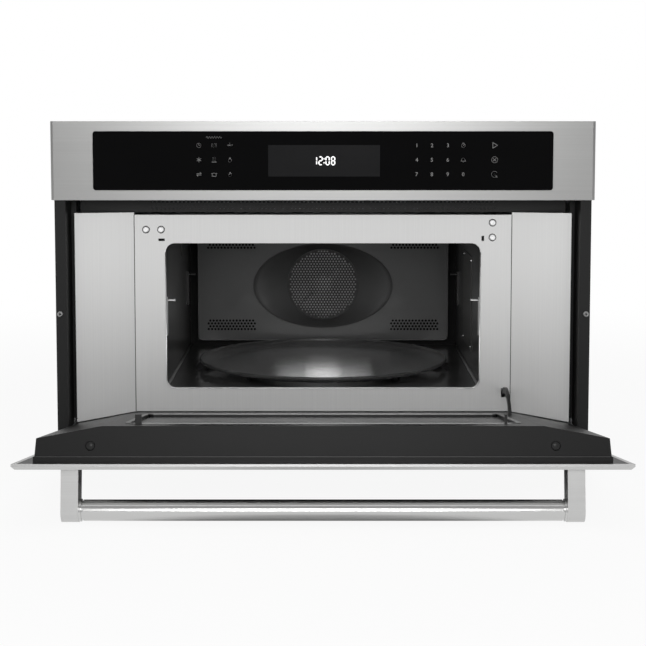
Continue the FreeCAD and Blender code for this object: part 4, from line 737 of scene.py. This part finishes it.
# Signs of the keys: lines in a square from -0.5 to 0.5, across and up
CLOCK_SIGN = [circle(0, 0, 0.5), [(0, 0.34), (0, 0), (0.24, 0)]]
POWER_SIGN = [ripple(0, z, 1.0, 0.09, 2) for z in (-0.3, 0.0, 0.3)]
BOWL_SIGN = [
    circle(0, 0.05, 0.5, 180, 360),
    [(-0.6, 0.05), (0.6, 0.05)],
    ripple(0, 0.32, 0.35, 0.06, 1, upright=True),
]
FROST_SIGN = star(3)
STEAM_SIGN = [ripple(x, 0.08, 0.75, 0.07, 2, upright=True) for x in (-0.3, 0.0, 0.3)]
STEAM_SIGN.append([(-0.5, -0.5), (0.5, -0.5)])
DROP_SIGN = [[(0, 0.5), (0.3, 0)] + circle(0, -0.18, 0.34, 30, -210, 14) + [(0, 0.5)]]
SWAP_SIGN = [
    [(-0.5, 0.15), (0.5, 0.15), (0.25, 0.4)],
    [(0.5, -0.15), (-0.5, -0.15), (-0.25, -0.4)],
]
POT_SIGN = [
    [(-0.45, 0.2), (-0.45, -0.45), (0.45, -0.45), (0.45, 0.2)],
    [(-0.6, 0.2), (0.6, 0.2)],
    circle(0, 0.32, 0.1),
]
FLAME_SIGN = [[(0, 0.5), (0.34, 0.05)] + circle(0, -0.15, 0.36, 20, -200, 14) + [(-0.1, 0.1), (0, 0.5)]]
TIMER_SIGN = [circle(0, -0.06, 0.42), [(0, -0.06), (0.2, 0.16)], [(-0.16, 0.5), (0.16, 0.5)]]
BELL_SIGN = [
    [(-0.5, -0.3)] + circle(0, 0.05, 0.36, 180, 0, 12) + [(0.5, -0.3), (-0.5, -0.3)],
    circle(0, -0.42, 0.09),
]
START_SIGN = [[(-0.32, 0.45), (0.45, 0), (-0.32, -0.45), (-0.32, 0.45)]]
STOP_SIGN = [circle(0, 0, 0.5), [(-0.22, 0.22), (0.22, -0.22)], [(-0.22, -0.22), (0.22, 0.22)]]
TURN_SIGN = [circle(0, 0, 0.5, 40, 320), [(0.2, -0.26), (0.39, -0.32), (0.4, -0.52)], circle(0, 0, 0.12)]
HEADER_SIGN = [ripple(0, 0, 3.4, 0.22, 6)]

KEY_ROWS = (21.4 * MM, 1.4 * MM, -18.7 * MM)
DIGIT_COLUMNS = (130.0 * MM, 151.0 * MM, 173.0 * MM)
ZERO_COLUMN = 194.5 * MM
SIGN_COLUMNS = (
    (-172.0 * MM, (CLOCK_SIGN, FROST_SIGN, SWAP_SIGN)),
    (-151.0 * MM, (POWER_SIGN, STEAM_SIGN, POT_SIGN)),
    (-129.0 * MM, (BOWL_SIGN, DROP_SIGN, FLAME_SIGN)),
    (ZERO_COLUMN, (TIMER_SIGN, BELL_SIGN)),
)
MAIN_COLUMN = 238.0 * MM
MAIN_SIGNS = (START_SIGN, STOP_SIGN, TURN_SIGN)
HEADER_X = -151.0 * MM
HEADER_RISE = 32.4 * MM


class MICROWAVE_OT_keypad(bpy.types.Operator):
    """Numbers and generic signs on the control glass"""

    bl_idname = "microwave.keypad"
    bl_label = "Keypad print"

    def execute(self, context):
        low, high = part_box("control_glass")
        face_y = low[1]
        middle_z = (low[2] + high[2]) / 2
        numbers = bmesh.new()
        for digit in range(1, 10):
            row, column = divmod(digit - 1, 3)
            spot = (DIGIT_COLUMNS[column], face_y, middle_z + KEY_ROWS[row])
            add_text(numbers, str(digit), sizes().digit_height, spot)
        add_text(numbers, "0", sizes().digit_height, (ZERO_COLUMN, face_y, middle_z + KEY_ROWS[2]))
        ink = lit_print("key_print", finishes().print_tone, 0.0)
        finish_object("keypad_numbers", numbers, ink)
        signs = bmesh.new()
        small = sizes().sign_height
        for x, column in SIGN_COLUMNS:
            for rise, sign in zip(KEY_ROWS, column):
                self.sign(signs, sign, x, middle_z + rise, small, face_y)
        for rise, sign in zip(KEY_ROWS, MAIN_SIGNS):
            self.sign(signs, sign, MAIN_COLUMN, middle_z + rise, sizes().big_sign_height, face_y)
        self.sign(signs, HEADER_SIGN, HEADER_X, middle_z + HEADER_RISE, small, face_y)
        clean(signs)
        finish_object("keypad_signs", signs, ink)
        return {"FINISHED"}

    def sign(self, shapes, lines, x, z, height, face_y):
        for line in lines:
            points = [(x + a * height, z + b * height) for a, b in line]
            stroke(shapes, points, face_y - sizes().print_depth, face_y)


# Ends of a numeral's bars: top, upper right, lower right, bottom, lower left, upper left, middle
BAR_ENDS = (
    ((-1, 1), (1, 1)),
    ((1, 0), (1, 1)),
    ((1, -1), (1, 0)),
    ((-1, -1), (1, -1)),
    ((-1, -1), (-1, 0)),
    ((-1, 0), (-1, 1)),
    ((-1, 0), (1, 0)),
)
LIT_BARS = {"0": (0, 1, 2, 3, 4, 5), "1": (1, 2), "2": (0, 1, 3, 4, 6), "8": (0, 1, 2, 3, 4, 5, 6)}


class MICROWAVE_OT_clock(bpy.types.Operator):
    """Lit numerals of the clock, made of bars"""

    bl_idname = "microwave.clock"
    bl_label = "Clock numerals"

    def execute(self, context):
        low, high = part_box("display_lens")
        wide = sizes().clock_width
        pitch = wide * 1.24
        colon = wide * 0.32
        x = (low[0] + high[0]) / 2 - 1.5 * pitch - colon / 2
        z = (low[2] + high[2]) / 2
        lit = bmesh.new()
        for digit in "12:08":
            if digit == ":":
                self.dots(lit, x - pitch / 2 + colon / 2, z, low[1])
                x += colon
            else:
                self.numeral(lit, LIT_BARS[digit], x, z, low[1])
                x += pitch
        clean(lit)
        glow = lit_print("clock_glow", grey(0.92), 0.9)
        finish_object("clock_numerals", lit, glow)
        return {"FINISHED"}

    def bar(self, shapes, start, end, face_y):
        half = sizes().clock_stroke / 2
        along = (Vector(end) - Vector(start)).normalized() * half
        side = Vector((-along.y, along.x))
        first = Vector(start) + along * 0.3
        last = Vector(end) - along * 0.3
        outline = (
            first, first + along + side, last - along + side,
            last, last - along - side, first + along - side,
        )
        slab(shapes, outline, face_y - sizes().print_depth, face_y)

    def numeral(self, shapes, bars, x, z, face_y):
        across = (sizes().clock_width - sizes().clock_stroke) / 2
        up = (sizes().clock_height - sizes().clock_stroke) / 2
        for index in bars:
            start, end = [(x + a * across, z + b * up) for a, b in BAR_ENDS[index]]
            self.bar(shapes, start, end, face_y)

    def dots(self, shapes, x, z, face_y):
        radius = sizes().clock_stroke * 0.55
        for drop in (-0.22, 0.22):
            outline = circle(x, z + drop * sizes().clock_height, radius, steps=12)[:-1]
            slab(shapes, outline, face_y - sizes().print_depth, face_y)


DISC_RAISED = 0.3
DISC_TRIM = 0.2 * MM
DISC_LAP = 0.4 * MM


class MICROWAVE_OT_fan_disc(bpy.types.Operator):
    """Perforated disc in front of the convection fan"""

    bl_idname = "microwave.fan_disc"
    bl_label = "Fan disc"

    def execute(self, context):
        low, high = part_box("fan_grille")
        radius = (high[0] - low[0]) / 2
        middle_z = (low[2] + high[2]) / 2
        thick = high[1] - low[1]
        raised = DISC_RAISED * thick
        pitch = sizes().disc_pitch
        half_z = pitch * math.sqrt(3) / 4
        reach = radius - sizes().disc_rim
        edge = radius - DISC_TRIM
        rows = int(radius / half_z / 2) + 1
        holes = []
        plain = []
        for row in range(-rows, rows + 1):
            for column in range(-rows, rows + 1):
                spot = ((column + (row % 2) / 2) * pitch, 2 * row * half_z)
                if math.hypot(*spot) < reach - sizes().disc_hole:
                    holes.append(spot)
                elif math.hypot(*spot) < edge:
                    plain.append(spot)
        sheet = bmesh.new()
        spread(sheet, cell(pitch / 2, half_z, sizes().disc_hole), holes)
        spread(sheet, cell(pitch / 2, half_z, 0.0), plain)
        for vertex in sheet.verts:
            far = math.hypot(vertex.co.x, vertex.co.z)
            if far > edge:
                vertex.co *= edge / far
        middle = (0.0, low[1] + raised, middle_z)
        thicken(sheet, thick - raised, middle)
        inner = reach - DISC_LAP
        outline = (
            (inner, 0.0), (inner, -0.8 * raised), (reach, -raised), (radius, -0.6 * raised),
            (radius, thick - raised), (reach, thick - raised), (inner, 0.0),
        )
        lathe(sheet, outline, Matrix.Translation(middle) @ FLAT_BACK, steps=96)
        steel = paint("fan_disc_enamel", grey(0.03), 0.4, 900.0, 0.1)
        disc = finish_object("fan_disc", sheet, steel)
        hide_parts("fan_grille")
        return {"FINISHED"}


# Bead at the bowl's mouth: how far out and how far back from the wall
BOWL_BEAD = ((1.2 * MM, -0.02 * MM), (0.9 * MM, -0.3 * MM), (0.3 * MM, -0.35 * MM))
BOWL_STEPS = 12
BOWL_CURVE = 0.8
BOWL_GAP = 0.2 * MM
BOWL_SHEET = 0.3 * MM
BOWL_SHARP = math.radians(50)


class MICROWAVE_OT_fan_bowl(bpy.types.Operator):
    """Smooth pressed bowl round the fan disc, with a small bead at its mouth"""

    bl_idname = "microwave.fan_bowl"
    bl_label = "Fan bowl"

    def execute(self, context):
        low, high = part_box("fan_grille")
        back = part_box("cavity_back")[0][1]
        middle_z = (low[2] + high[2]) / 2
        floor_r = (high[0] - low[0]) / 2 + BOWL_GAP
        mouth_w = sizes().bowl_half_width
        mouth_h = sizes().bowl_half_height
        deep = low[1] - back - BOWL_GAP
        levels = [(mouth_w + extra, mouth_h + extra, depth) for extra, depth in BOWL_BEAD]
        for step in range(BOWL_STEPS + 1):
            share = (step / BOWL_STEPS) ** BOWL_CURVE
            wide = mouth_w + (floor_r - mouth_w) * share
            tall = mouth_h + (floor_r - mouth_h) * share
            levels.append((wide, tall, deep * step / BOWL_STEPS))
        shapes = bmesh.new()
        wide, tall, depth = levels[0]
        ring = bmesh.ops.create_circle(shapes, segments=96, radius=1.0)["verts"]
        bmesh.ops.scale(shapes, verts=ring, vec=(wide, tall, 1.0))
        bmesh.ops.translate(shapes, verts=ring, vec=(0.0, 0.0, -depth))
        for before, after in zip(levels, levels[1:]):
            scale = (after[0] / before[0], after[1] / before[1], 1.0)
            ring = grow(shapes, ring, scale, before[2] - after[2])
        shapes.transform(Matrix.Translation((0.0, back, middle_z)) @ FLAT_FRONT)
        clean(shapes)
        if sum(face.normal.y for face in shapes.faces) > 0:
            bmesh.ops.reverse_faces(shapes, faces=shapes.faces)
        bmesh.ops.solidify(shapes, geom=list(shapes.faces), thickness=BOWL_SHEET)
        smooth(shapes, BOWL_SHARP)
        pressed = enamel("bowl_enamel", grey(0.07), 0.5, coat=0.08)
        finish_object("fan_bowl", shapes, pressed)
        return {"FINISHED"}


FIELD_COLUMNS = 15
FIELD_ROWS = 4
FIELD_PROUD = 0.65 * MM
FIELD_SHEET = 0.4 * MM


def field_spots():
    """Middles of the four vent fields, across and up."""
    heights = (sizes().field_low, sizes().field_high)
    return [(side * sizes().field_x, z) for side in (-1, 1) for z in heights]


class MICROWAVE_OT_vent_fields(bpy.types.Operator):
    """Four fields of holes in the back wall of the oven"""

    bl_idname = "microwave.vent_fields"
    bl_label = "Vent fields"

    def execute(self, context):
        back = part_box("cavity_back")[0][1]
        oven = NODES["cavity_back"].data.materials[0]
        wide = sizes().field_width
        tall = sizes().field_height
        fields = bmesh.new()
        for x, z in field_spots():
            sheet = hole_field(FIELD_COLUMNS, FIELD_ROWS, wide, tall, sizes().field_hole)
            thicken(sheet, FIELD_SHEET, (x, back - FIELD_PROUD, z))
            join(fields, sheet)
        finish_object("vent_fields", fields, oven)
        return {"FINISHED"}


SHADE_SHEET = 0.25 * MM
JOINT_START = 0.1 * MM
JOINT_END = 1.9 * MM
JOINT_PROUD = 0.1 * MM
JOINT_SUNK = 1.0 * MM


class MICROWAVE_OT_felts(bpy.types.Operator):
    """Painted shade: dull black sheets behind the vent fields and in the joints of the front"""

    bl_idname = "microwave.felts"
    bl_label = "Shades"

    def execute(self, context):
        black = felt_black("black_shade_sheet", grey(0.004))
        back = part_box("cavity_back")[0][1]
        half_x = sizes().field_width / 2
        half_z = sizes().field_height / 2
        # Painted shade: black sheets behind the holes of the vent fields, where there is only shade
        shade = bmesh.new()
        for x, z in field_spots():
            outline = rectangle(x - half_x, x + half_x, z - half_z, z + half_z)
            slab(shade, outline, back - SHADE_SHEET, back)
        clean(shade)
        finish_object("vent_field_shade", shade, black)
        low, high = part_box("front_frame")
        # Painted shade: black strips in the joints beside the front frame, where there is only shade
        joint = bmesh.new()
        for side in (-1, 1):
            x0 = side * (high[0] + JOINT_START)
            x1 = side * (high[0] + JOINT_END)
            slab(joint, rectangle(x0, x1, low[2], high[2]), low[1] - JOINT_PROUD, low[1] + JOINT_SUNK)
        clean(joint)
        finish_object("joint_shade", joint, black)
        return {"FINISHED"}


SCREEN_COLUMNS = 84
SCREEN_ROWS = 3
SCREEN_HEIGHT = 16.5 * MM
SCREEN_HOLE = 1.5 * MM
SCREEN_DROP = 3.3 * MM
SCREEN_SHEET = 0.6 * MM


class MICROWAVE_OT_vent_screen(bpy.types.Operator):
    """Screen of small holes over the slots under the fascia"""

    bl_idname = "microwave.vent_screen"
    bl_label = "Vent screen"

    def execute(self, context):
        low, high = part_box("vent_grille")
        black = NODES["vent_grille"].data.materials[0]
        middle_z = (low[2] + high[2]) / 2 - SCREEN_DROP
        wide = 2 * sizes().strip_half
        sheet = hole_field(SCREEN_COLUMNS, SCREEN_ROWS, wide, SCREEN_HEIGHT, SCREEN_HOLE)
        thicken(sheet, SCREEN_SHEET, (0.0, low[1] - SCREEN_SHEET, middle_z))
        finish_object("vent_screen", sheet, black)
        return {"FINISHED"}


TRAY_GLASS = 4.0 * MM
TRAY_SLOPE = 24.0 * MM
# The tray's section in millimetres: in from the edge of the flat and up, or in from the rim and down
TRAY_UNDER = ((6.0, 0.0), (3.0, 0.0), (0.0, 0.3))
TRAY_RIM = (
    (6.0, 6.4), (1.2, 5.0), (0.0, 3.6), (0.0, 1.4), (1.2, 0.0), (3.0, 0.0), (3.8, 0.3),
    (4.2, 0.9), (4.25, 1.2), (4.53, 2.6), (4.58, 2.9), (5.4, 3.4), (8.0, 3.9),
)
TRAY_OVER = ((1.0, 0.5), (4.0, 0.0), (8.0, 0.0))


class MICROWAVE_OT_tray(bpy.types.Operator):
    """Turned glass tray with a rolled rim"""

    bl_idname = "microwave.tray"
    bl_label = "Glass tray"

    def execute(self, context):
        low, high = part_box("turntable_tray")
        radius = (high[0] - low[0]) / 2
        tall = high[2] - low[2]
        flat = radius - TRAY_SLOPE
        outline = [(0.0, 0.0)]
        outline += [(flat - inward * MM, up * MM) for inward, up in TRAY_UNDER]
        outline += [(radius - inward * MM, tall - down * MM) for inward, down in TRAY_RIM]
        outline += [(flat - inward * MM, TRAY_GLASS + up * MM) for inward, up in TRAY_OVER]
        outline += [(0.0, TRAY_GLASS)]
        middle = ((low[0] + high[0]) / 2, (low[1] + high[1]) / 2, low[2])
        shapes = bmesh.new()
        lathe(shapes, outline, Matrix.Translation(middle), steps=128)
        smooth(shapes)
        glass = NODES["turntable_tray"].data.materials[0]
        tray = finish_object("glass_tray", shapes, glass, "turntable")
        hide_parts("turntable_tray")
        return {"FINISHED"}


CABINET_SCREW_RISE = 2.2 * MM
REAR_GAPS = 4
REAR_INSET = 9.0 * MM
REAR_HEAD = 4.6 * MM
REAR_RISE = 3.4 * MM
FRAME_HEAD = 4.5 * MM
FRAME_RISE = 1.8 * MM
FRAME_SHANK = 1.9 * MM
FRAME_POINT = 0.8 * MM
GAP_SHADE_LOW = 0.02 * MM
GAP_SHADE_HIGH = 0.3 * MM


class MICROWAVE_OT_screws(bpy.types.Operator):
    """Screws of the front frame, the cabinet flanges and the rear panel"""

    bl_idname = "microwave.screws"
    bl_label = "Screws"

    def execute(self, context):
        self.cabinet()
        self.rear()
        self.frame()
        return {"FINISHED"}

    def cabinet(self):
        flange_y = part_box("side_frame_right")[0][1]
        heads = bmesh.new()
        for side in (-1, 1):
            place = Matrix.Translation((side * CABINET_SCREW_X, flange_y, CABINET_SCREW_Z)) @ FLAT_FRONT
            pan_head(heads, place, sizes().screw_head, CABINET_SCREW_RISE)
        plated = chrome("cabinet_screw", grey(0.36), 0.4)
        finish_object("cabinet_screw_heads", heads, plated)

    def rear(self):
        low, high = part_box("rear_panel")
        heads = bmesh.new()
        for gap in range(REAR_GAPS + 1):
            x = low[0] + REAR_INSET + (high[0] - low[0] - 2 * REAR_INSET) * gap / REAR_GAPS
            for z in (low[2] + REAR_INSET, high[2] - REAR_INSET):
                hex_head(heads, Matrix.Translation((x, high[1], z)) @ FLAT_BACK, REAR_HEAD, REAR_RISE)
        plated = NODES["frame_screws"].data.materials[0]
        finish_object("rear_screw_heads", heads, plated)

    def frame(self):
        low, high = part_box("frame_screws")
        cap = FRAME_HEAD
        rise = FRAME_RISE
        deep = high[1] - low[1] - rise
        socket = 0.3 * cap
        outline = (
            (0.0, 0.3 * rise), (socket, 0.3 * rise), (socket, rise), (0.7 * cap, rise),
            (0.92 * cap, 0.78 * rise), (cap, 0.45 * rise), (cap, 0.0),
            (FRAME_SHANK, 0.0), (FRAME_SHANK, FRAME_POINT - deep), (0.0, -deep),
        )
        # Painted shade: a thin dull black ring round each head stands for the shade in the gap at its edge
        washer = rectangle(0.9 * cap, 1.2 * cap, GAP_SHADE_LOW, GAP_SHADE_HIGH)
        left = low[0] + cap
        right = high[0] - cap
        top = high[2] - cap
        spots = (
            (left, top - FRAME_SCREW_DROP), (left + FRAME_SCREW_PITCH, top - FRAME_SCREW_DROP),
            (right, top), (right, low[2] + cap),
        )
        heads = bmesh.new()
        shade_rings = bmesh.new()
        for x, z in spots:
            place = Matrix.Translation((x, low[1] + rise, z)) @ FLAT_FRONT
            lathe(heads, outline, place, steps=24)
            lathe(shade_rings, (*washer, washer[0]), place, steps=24)
        bright = chrome("frame_screw", grey(0.9), 0.45)
        piece = finish_object("frame_screw_heads", heads, bright)
        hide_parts("frame_screws")
        # Painted shade in the gaps round the heads
        gap_shade = felt_black("screw_gap_shade", grey(0.03))
        finish_object("frame_screw_gap_shades", shade_rings, gap_shade)


RIVET_INSET = 6.0 * MM


class MICROWAVE_OT_rivets(bpy.types.Operator):
    """Domed rivets of the waveguide cover"""

    bl_idname = "microwave.rivets"
    bl_label = "Rivets"

    def execute(self, context):
        low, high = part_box("waveguide_cover")
        radius = sizes().rivet
        dome = (
            (0.0, 1.1 * MM), (0.5 * radius, 0.95 * MM), (0.85 * radius, 0.55 * MM),
            (radius, 0.0), (0.0, 0.0),
        )
        shapes = bmesh.new()
        for y in (low[1] + RIVET_INSET, high[1] - RIVET_INSET):
            for z in (low[2] + RIVET_INSET, high[2] - RIVET_INSET):
                lathe(shapes, dome, Matrix.Translation((low[0], y, z)) @ FLAT_LEFT, steps=16)
        steel = chrome("rivet_steel", grey(0.8), 0.2)
        finish_object("waveguide_rivets", shapes, steel)
        return {"FINISHED"}


LIP_CORNER = 13.0 * MM
LIP_PROUD = 0.1 * MM
PANEL_CORNER = 8.0 * MM
PANEL_BEAD = 0.7 * MM
PANEL_INSET = 0.6 * MM
COVE = 2.2 * MM
COVE_INSET = 3.0 * MM
COVE_RISE = 1.8 * MM
COVE_FRONT = 14.0 * MM
COVE_BACK = 1.0 * MM
LINER_BEAD = 0.6 * MM


class MICROWAVE_OT_beads(bpy.types.Operator):
    """Round beads: the opening's lip, the back panel's edge, the floor's coves and the door's liner; the
    last three paler than their ground, as painted highlights
    """

    bl_idname = "microwave.beads"
    bl_label = "Beads"

    def execute(self, context):
        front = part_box("front_frame")[0][1] + LIP_PROUD
        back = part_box("cavity_back")[0][1]
        low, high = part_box("cavity_floor")
        path = [(-LIP_HALF, LIP_TOP - LIP_CORNER)]
        path += rounded(LIP_HALF, LIP_BOTTOM, LIP_TOP, LIP_CORNER, 10, (2, 3))
        path += [(LIP_HALF, LIP_TOP - LIP_CORNER)]
        lip = bmesh.new()
        bar(lip, [(x, front, z) for x, z in path], sizes().lip)
        steel = chrome("lip_steel", grey(0.75), 0.3)
        finish_object("opening_lip", lip, steel)
        half = PANEL_HALF - PANEL_INSET
        path = rounded(half, PANEL_BOTTOM + PANEL_INSET, PANEL_TOP - PANEL_INSET, PANEL_CORNER, 6, range(4))
        panel = bmesh.new()
        bar(panel, [(x, back, z) for x, z in path], PANEL_BEAD, closed=True)
        # Painted highlight: the bead is paler than the oven enamel, so that the panel's rounded edge shows
        # as a lighter line
        pale = enamel("panel_bead_highlight", grey(0.09), 0.25, fleck=0.3)
        finish_object("back_panel_bead", panel, pale)
        coves = bmesh.new()
        z = high[2] + COVE_RISE
        for side in (-1, 1):
            x = side * (high[0] - COVE_INSET)
            bar(coves, [(x, low[1] + COVE_FRONT, z), (x, back - COVE_BACK, z)], COVE)
        # Painted highlight: the coves are far paler than the oven enamel, so that the seams of floor and
        # walls show as bright lines
        cove = enamel("cove_painted_highlight", grey(0.22), 0.25, fleck=0.3)
        finish_object("floor_coves", coves, cove)
        liner = bmesh.new()
        bar(liner, [(-LINER_HALF, *LINER_EDGE), (LINER_HALF, *LINER_EDGE)], LINER_BEAD)
        # Painted highlight: the bead is far paler than the black liner, so that the liner's step shows as a
        # light line
        edge = paint("liner_bead_highlight", grey(0.12), 0.3, 900.0, 0.1)
        finish_object("liner_bead", liner, edge, "door")
        return {"FINISHED"}


class MICROWAVE_OT_bumpers(bpy.types.Operator):
    """Rubber bumpers in the dimples of the door's top edge"""

    bl_idname = "microwave.bumpers"
    bl_label = "Door bumpers"

    def execute(self, context):
        radius = sizes().bumper
        dome = (
            (0.0, 1.1 * MM), (0.45 * radius, 0.9 * MM), (0.8 * radius, 0.3 * MM), (radius, -0.5 * MM),
            (radius, -1.5 * MM), (0.0, -1.5 * MM),
        )
        turn = Matrix.Rotation(DOOR_OPEN, 4, "X")
        shapes = bmesh.new()
        for side in (-1, 1):
            lathe(shapes, dome, Matrix.Translation((side * BUMPER_X, *BUMPER_SPOT)) @ turn, steps=32)
        smooth(shapes)
        rubber = paint("bumper_rubber", grey(0.02), 0.3, 1200.0, 0.1)
        finish_object("door_bumpers", shapes, rubber, "door")
        return {"FINISHED"}


CAMERA_PLACE = (0.0, -2.4467, 0.511175)
CAMERA_TILT = math.radians(90 - 5.025)
CAMERA_LENS = 85.705
CAMERA_SENSOR = 36.0
CAMERA_SHIFT = -0.12
# Lamps: name, shape, place, target, width and height, and watts
LAMPS = (
    ("front_softbox", "RECTANGLE", (0.0, -2.9, 0.85), (0.0, 0.0, 0.25), (0.9, 0.5), 12.5),
    ("top_softbox", "RECTANGLE", (0.0, -0.9, 2.4), (0.0, -0.3, 0.2), (2.6, 2.0), 14.0),
    ("oven_fill", "RECTANGLE", (0.0, -0.2, 0.316), (0.0, 0.2, 0.17), (0.36, 0.03), 0.14),
    ("oven_low_fill", "RECTANGLE", (0.0, -0.2, 0.14), (0.0, 0.2, 0.26), (0.3, 0.02), 0.05),
    ("fan_light", "RECTANGLE", (0.0, 0.1865, 0.213), (0.0, 0.3, 0.213), (0.11, 0.11), 0.002),
    ("tray_glint", "ELLIPSE", (0.0, 0.158, 0.1815), (0.0, -0.3, 0.12), (0.06, 0.012), 0.014),
    ("tray_glint_wide", "ELLIPSE", (0.0, 0.158, 0.1815), (0.0, -0.3, 0.12), (0.17, 0.012), 0.017),
)
# What shiny surfaces see of the room, from straight down to straight up
ROOM_STOPS = [
    (0.0, grey(0.3)),
    (0.5, grey(0.4)),
    (0.6, grey(0.75)),
    (0.72, grey(0.6)),
    (1.0, grey(0.2)),
]
AMBIENT = 0.3
FLOOR_HALF = 6.0
# How white the floor is near the part, and from where to where it turns white
SHADE_NEAR = 0.92
SHADE_REACH = (0.6, 1.8)
# How white shiny surfaces see the floor, and from where
GLOSS_SHARE = 0.8
GLOSS_REACH = (0.6, 0.65)


class MICROWAVE_OT_stage(bpy.types.Operator):
    """Camera, lamps, floor and world"""

    bl_idname = "microwave.stage"
    bl_label = "Studio"

    def execute(self, context):
        scene = context.scene
        scene.view_settings.view_transform = "Standard"
        view = bpy.data.cameras.new("photo_view")
        view.lens = CAMERA_LENS
        view.sensor_width = CAMERA_SENSOR
        view.shift_y = CAMERA_SHIFT
        holder = bpy.data.objects.new("photo_view", view)
        holder.location = CAMERA_PLACE
        holder.rotation_euler = (CAMERA_TILT, 0.0, 0.0)
        scene.collection.objects.link(holder)
        scene.camera = holder
        self.floor(scene)
        self.world(scene)
        for lamp in LAMPS:
            self.lamp(scene, *lamp)
        return {"FINISHED"}

    def lamp(self, scene, name, shape, place, target, size, power):
        light = bpy.data.lights.new(name, "AREA")
        light.shape = shape
        light.size, light.size_y = size
        light.energy = power
        holder = bpy.data.objects.new(name, light)
        holder.location = place
        aim = Vector(target) - Vector(place)
        holder.rotation_euler = aim.to_track_quat("-Z", "Y").to_euler()
        holder.visible_camera = False
        scene.collection.objects.link(holder)

    def fade(self, finish, far, reach, near):
        """Share that runs from near to 1 over a reach."""
        sockets = {"Value": far, "From Min": reach[0], "From Max": reach[1], "To Min": near, "To Max": 1.0}
        return finish.node("ShaderNodeMapRange", {"interpolation_type": "SMOOTHSTEP"}, sockets)

    def floor(self, scene):
        shapes = bmesh.new()
        bmesh.ops.create_grid(shapes, x_segments=1, y_segments=1, size=FLOOR_HALF)
        mesh = bpy.data.meshes.new("floor")
        shapes.to_mesh(mesh)
        shapes.free()
        finish = Finish("floor_white", {"Base Color": grey(0.95), "Roughness": 0.9})
        far = finish.node("ShaderNodeVectorMath", {"operation": "LENGTH"}, {0: finish.place()}, "Value")
        plain = finish.ray("Camera").either(finish.ray("Transmission"))
        seen = plain * self.fade(finish, far, SHADE_REACH, SHADE_NEAR)
        seen = seen + finish.ray("Glossy") * self.fade(finish, far, GLOSS_REACH, 0.0) * GLOSS_SHARE
        surface = Value(finish, finish.shader.outputs["BSDF"])
        glow = finish.node("ShaderNodeEmission", {}, {"Color": grey(1.0), "Strength": 1.0})
        mixed = finish.node("ShaderNodeMixShader", {}, {0: seen, 1: surface, 2: glow})
        finish.put(finish.tree.nodes["Material Output"].inputs["Surface"], mixed)
        mesh.materials.append(finish.material)
        piece = bpy.data.objects.new("floor", mesh)
        scene.collection.objects.link(piece)

    def world(self, scene):
        world = bpy.data.worlds.new("studio")
        world.use_nodes = True
        scene.world = world
        sky = Tree(world.node_tree)
        up = sky.place("Generated").axis("Z")
        room = sky.node("ShaderNodeValToRGB", {"stops": ROOM_STOPS}, {"Fac": up * 0.5 + 0.5})
        lit = sky.blend(sky.ray("Glossy"), grey(AMBIENT), room)
        seen = sky.ray("Camera").either(sky.ray("Transmission"))
        back = world.node_tree.nodes["Background"]
        sky.put(back.inputs["Color"], sky.blend(seen, lit, grey(1.0)))


class MICROWAVE_PT_panel(bpy.types.Panel):
    """Lists the pieces, their sizes and their colours"""

    bl_idname = "MICROWAVE_PT_panel"
    bl_label = "Built-in microwave"
    bl_space_type = "VIEW_3D"
    bl_region_type = "UI"
    bl_category = "Microwave"

    def draw(self, context):
        for operator in OPERATORS:
            self.layout.operator(operator.bl_idname)
        for group in (context.scene.microwave_sizes, context.scene.microwave_finishes):
            box = self.layout.box()
            for name in group.__annotations__:
                box.prop(group, name)


OPERATORS = (
    MICROWAVE_OT_finishes,
    MICROWAVE_OT_keypad,
    MICROWAVE_OT_clock,
    MICROWAVE_OT_fan_disc,
    MICROWAVE_OT_fan_bowl,
    MICROWAVE_OT_vent_fields,
    MICROWAVE_OT_felts,
    MICROWAVE_OT_vent_screen,
    MICROWAVE_OT_tray,
    MICROWAVE_OT_screws,
    MICROWAVE_OT_rivets,
    MICROWAVE_OT_beads,
    MICROWAVE_OT_bumpers,
    MICROWAVE_OT_stage,
)
CLASSES = (MicrowaveFinishes, MicrowaveSizes) + OPERATORS + (MICROWAVE_PT_panel,)


def register():
    for made in CLASSES:
        bpy.utils.register_class(made)
    bpy.types.Scene.microwave_finishes = bpy.props.PointerProperty(type=MicrowaveFinishes)
    bpy.types.Scene.microwave_sizes = bpy.props.PointerProperty(type=MicrowaveSizes)


def unregister():
    del bpy.types.Scene.microwave_sizes
    del bpy.types.Scene.microwave_finishes
    for made in reversed(CLASSES):
        bpy.utils.unregister_class(made)


def main():
    register()
    bpy.ops.microwave.finishes()
    bpy.ops.microwave.keypad()
    bpy.ops.microwave.clock()
    bpy.ops.microwave.fan_disc()
    bpy.ops.microwave.fan_bowl()
    bpy.ops.microwave.vent_fields()
    bpy.ops.microwave.felts()
    bpy.ops.microwave.vent_screen()
    bpy.ops.microwave.tray()
    bpy.ops.microwave.screws()
    bpy.ops.microwave.rivets()
    bpy.ops.microwave.beads()
    bpy.ops.microwave.bumpers()
    bpy.ops.microwave.stage()


if __name__ == "__main__":
    main()
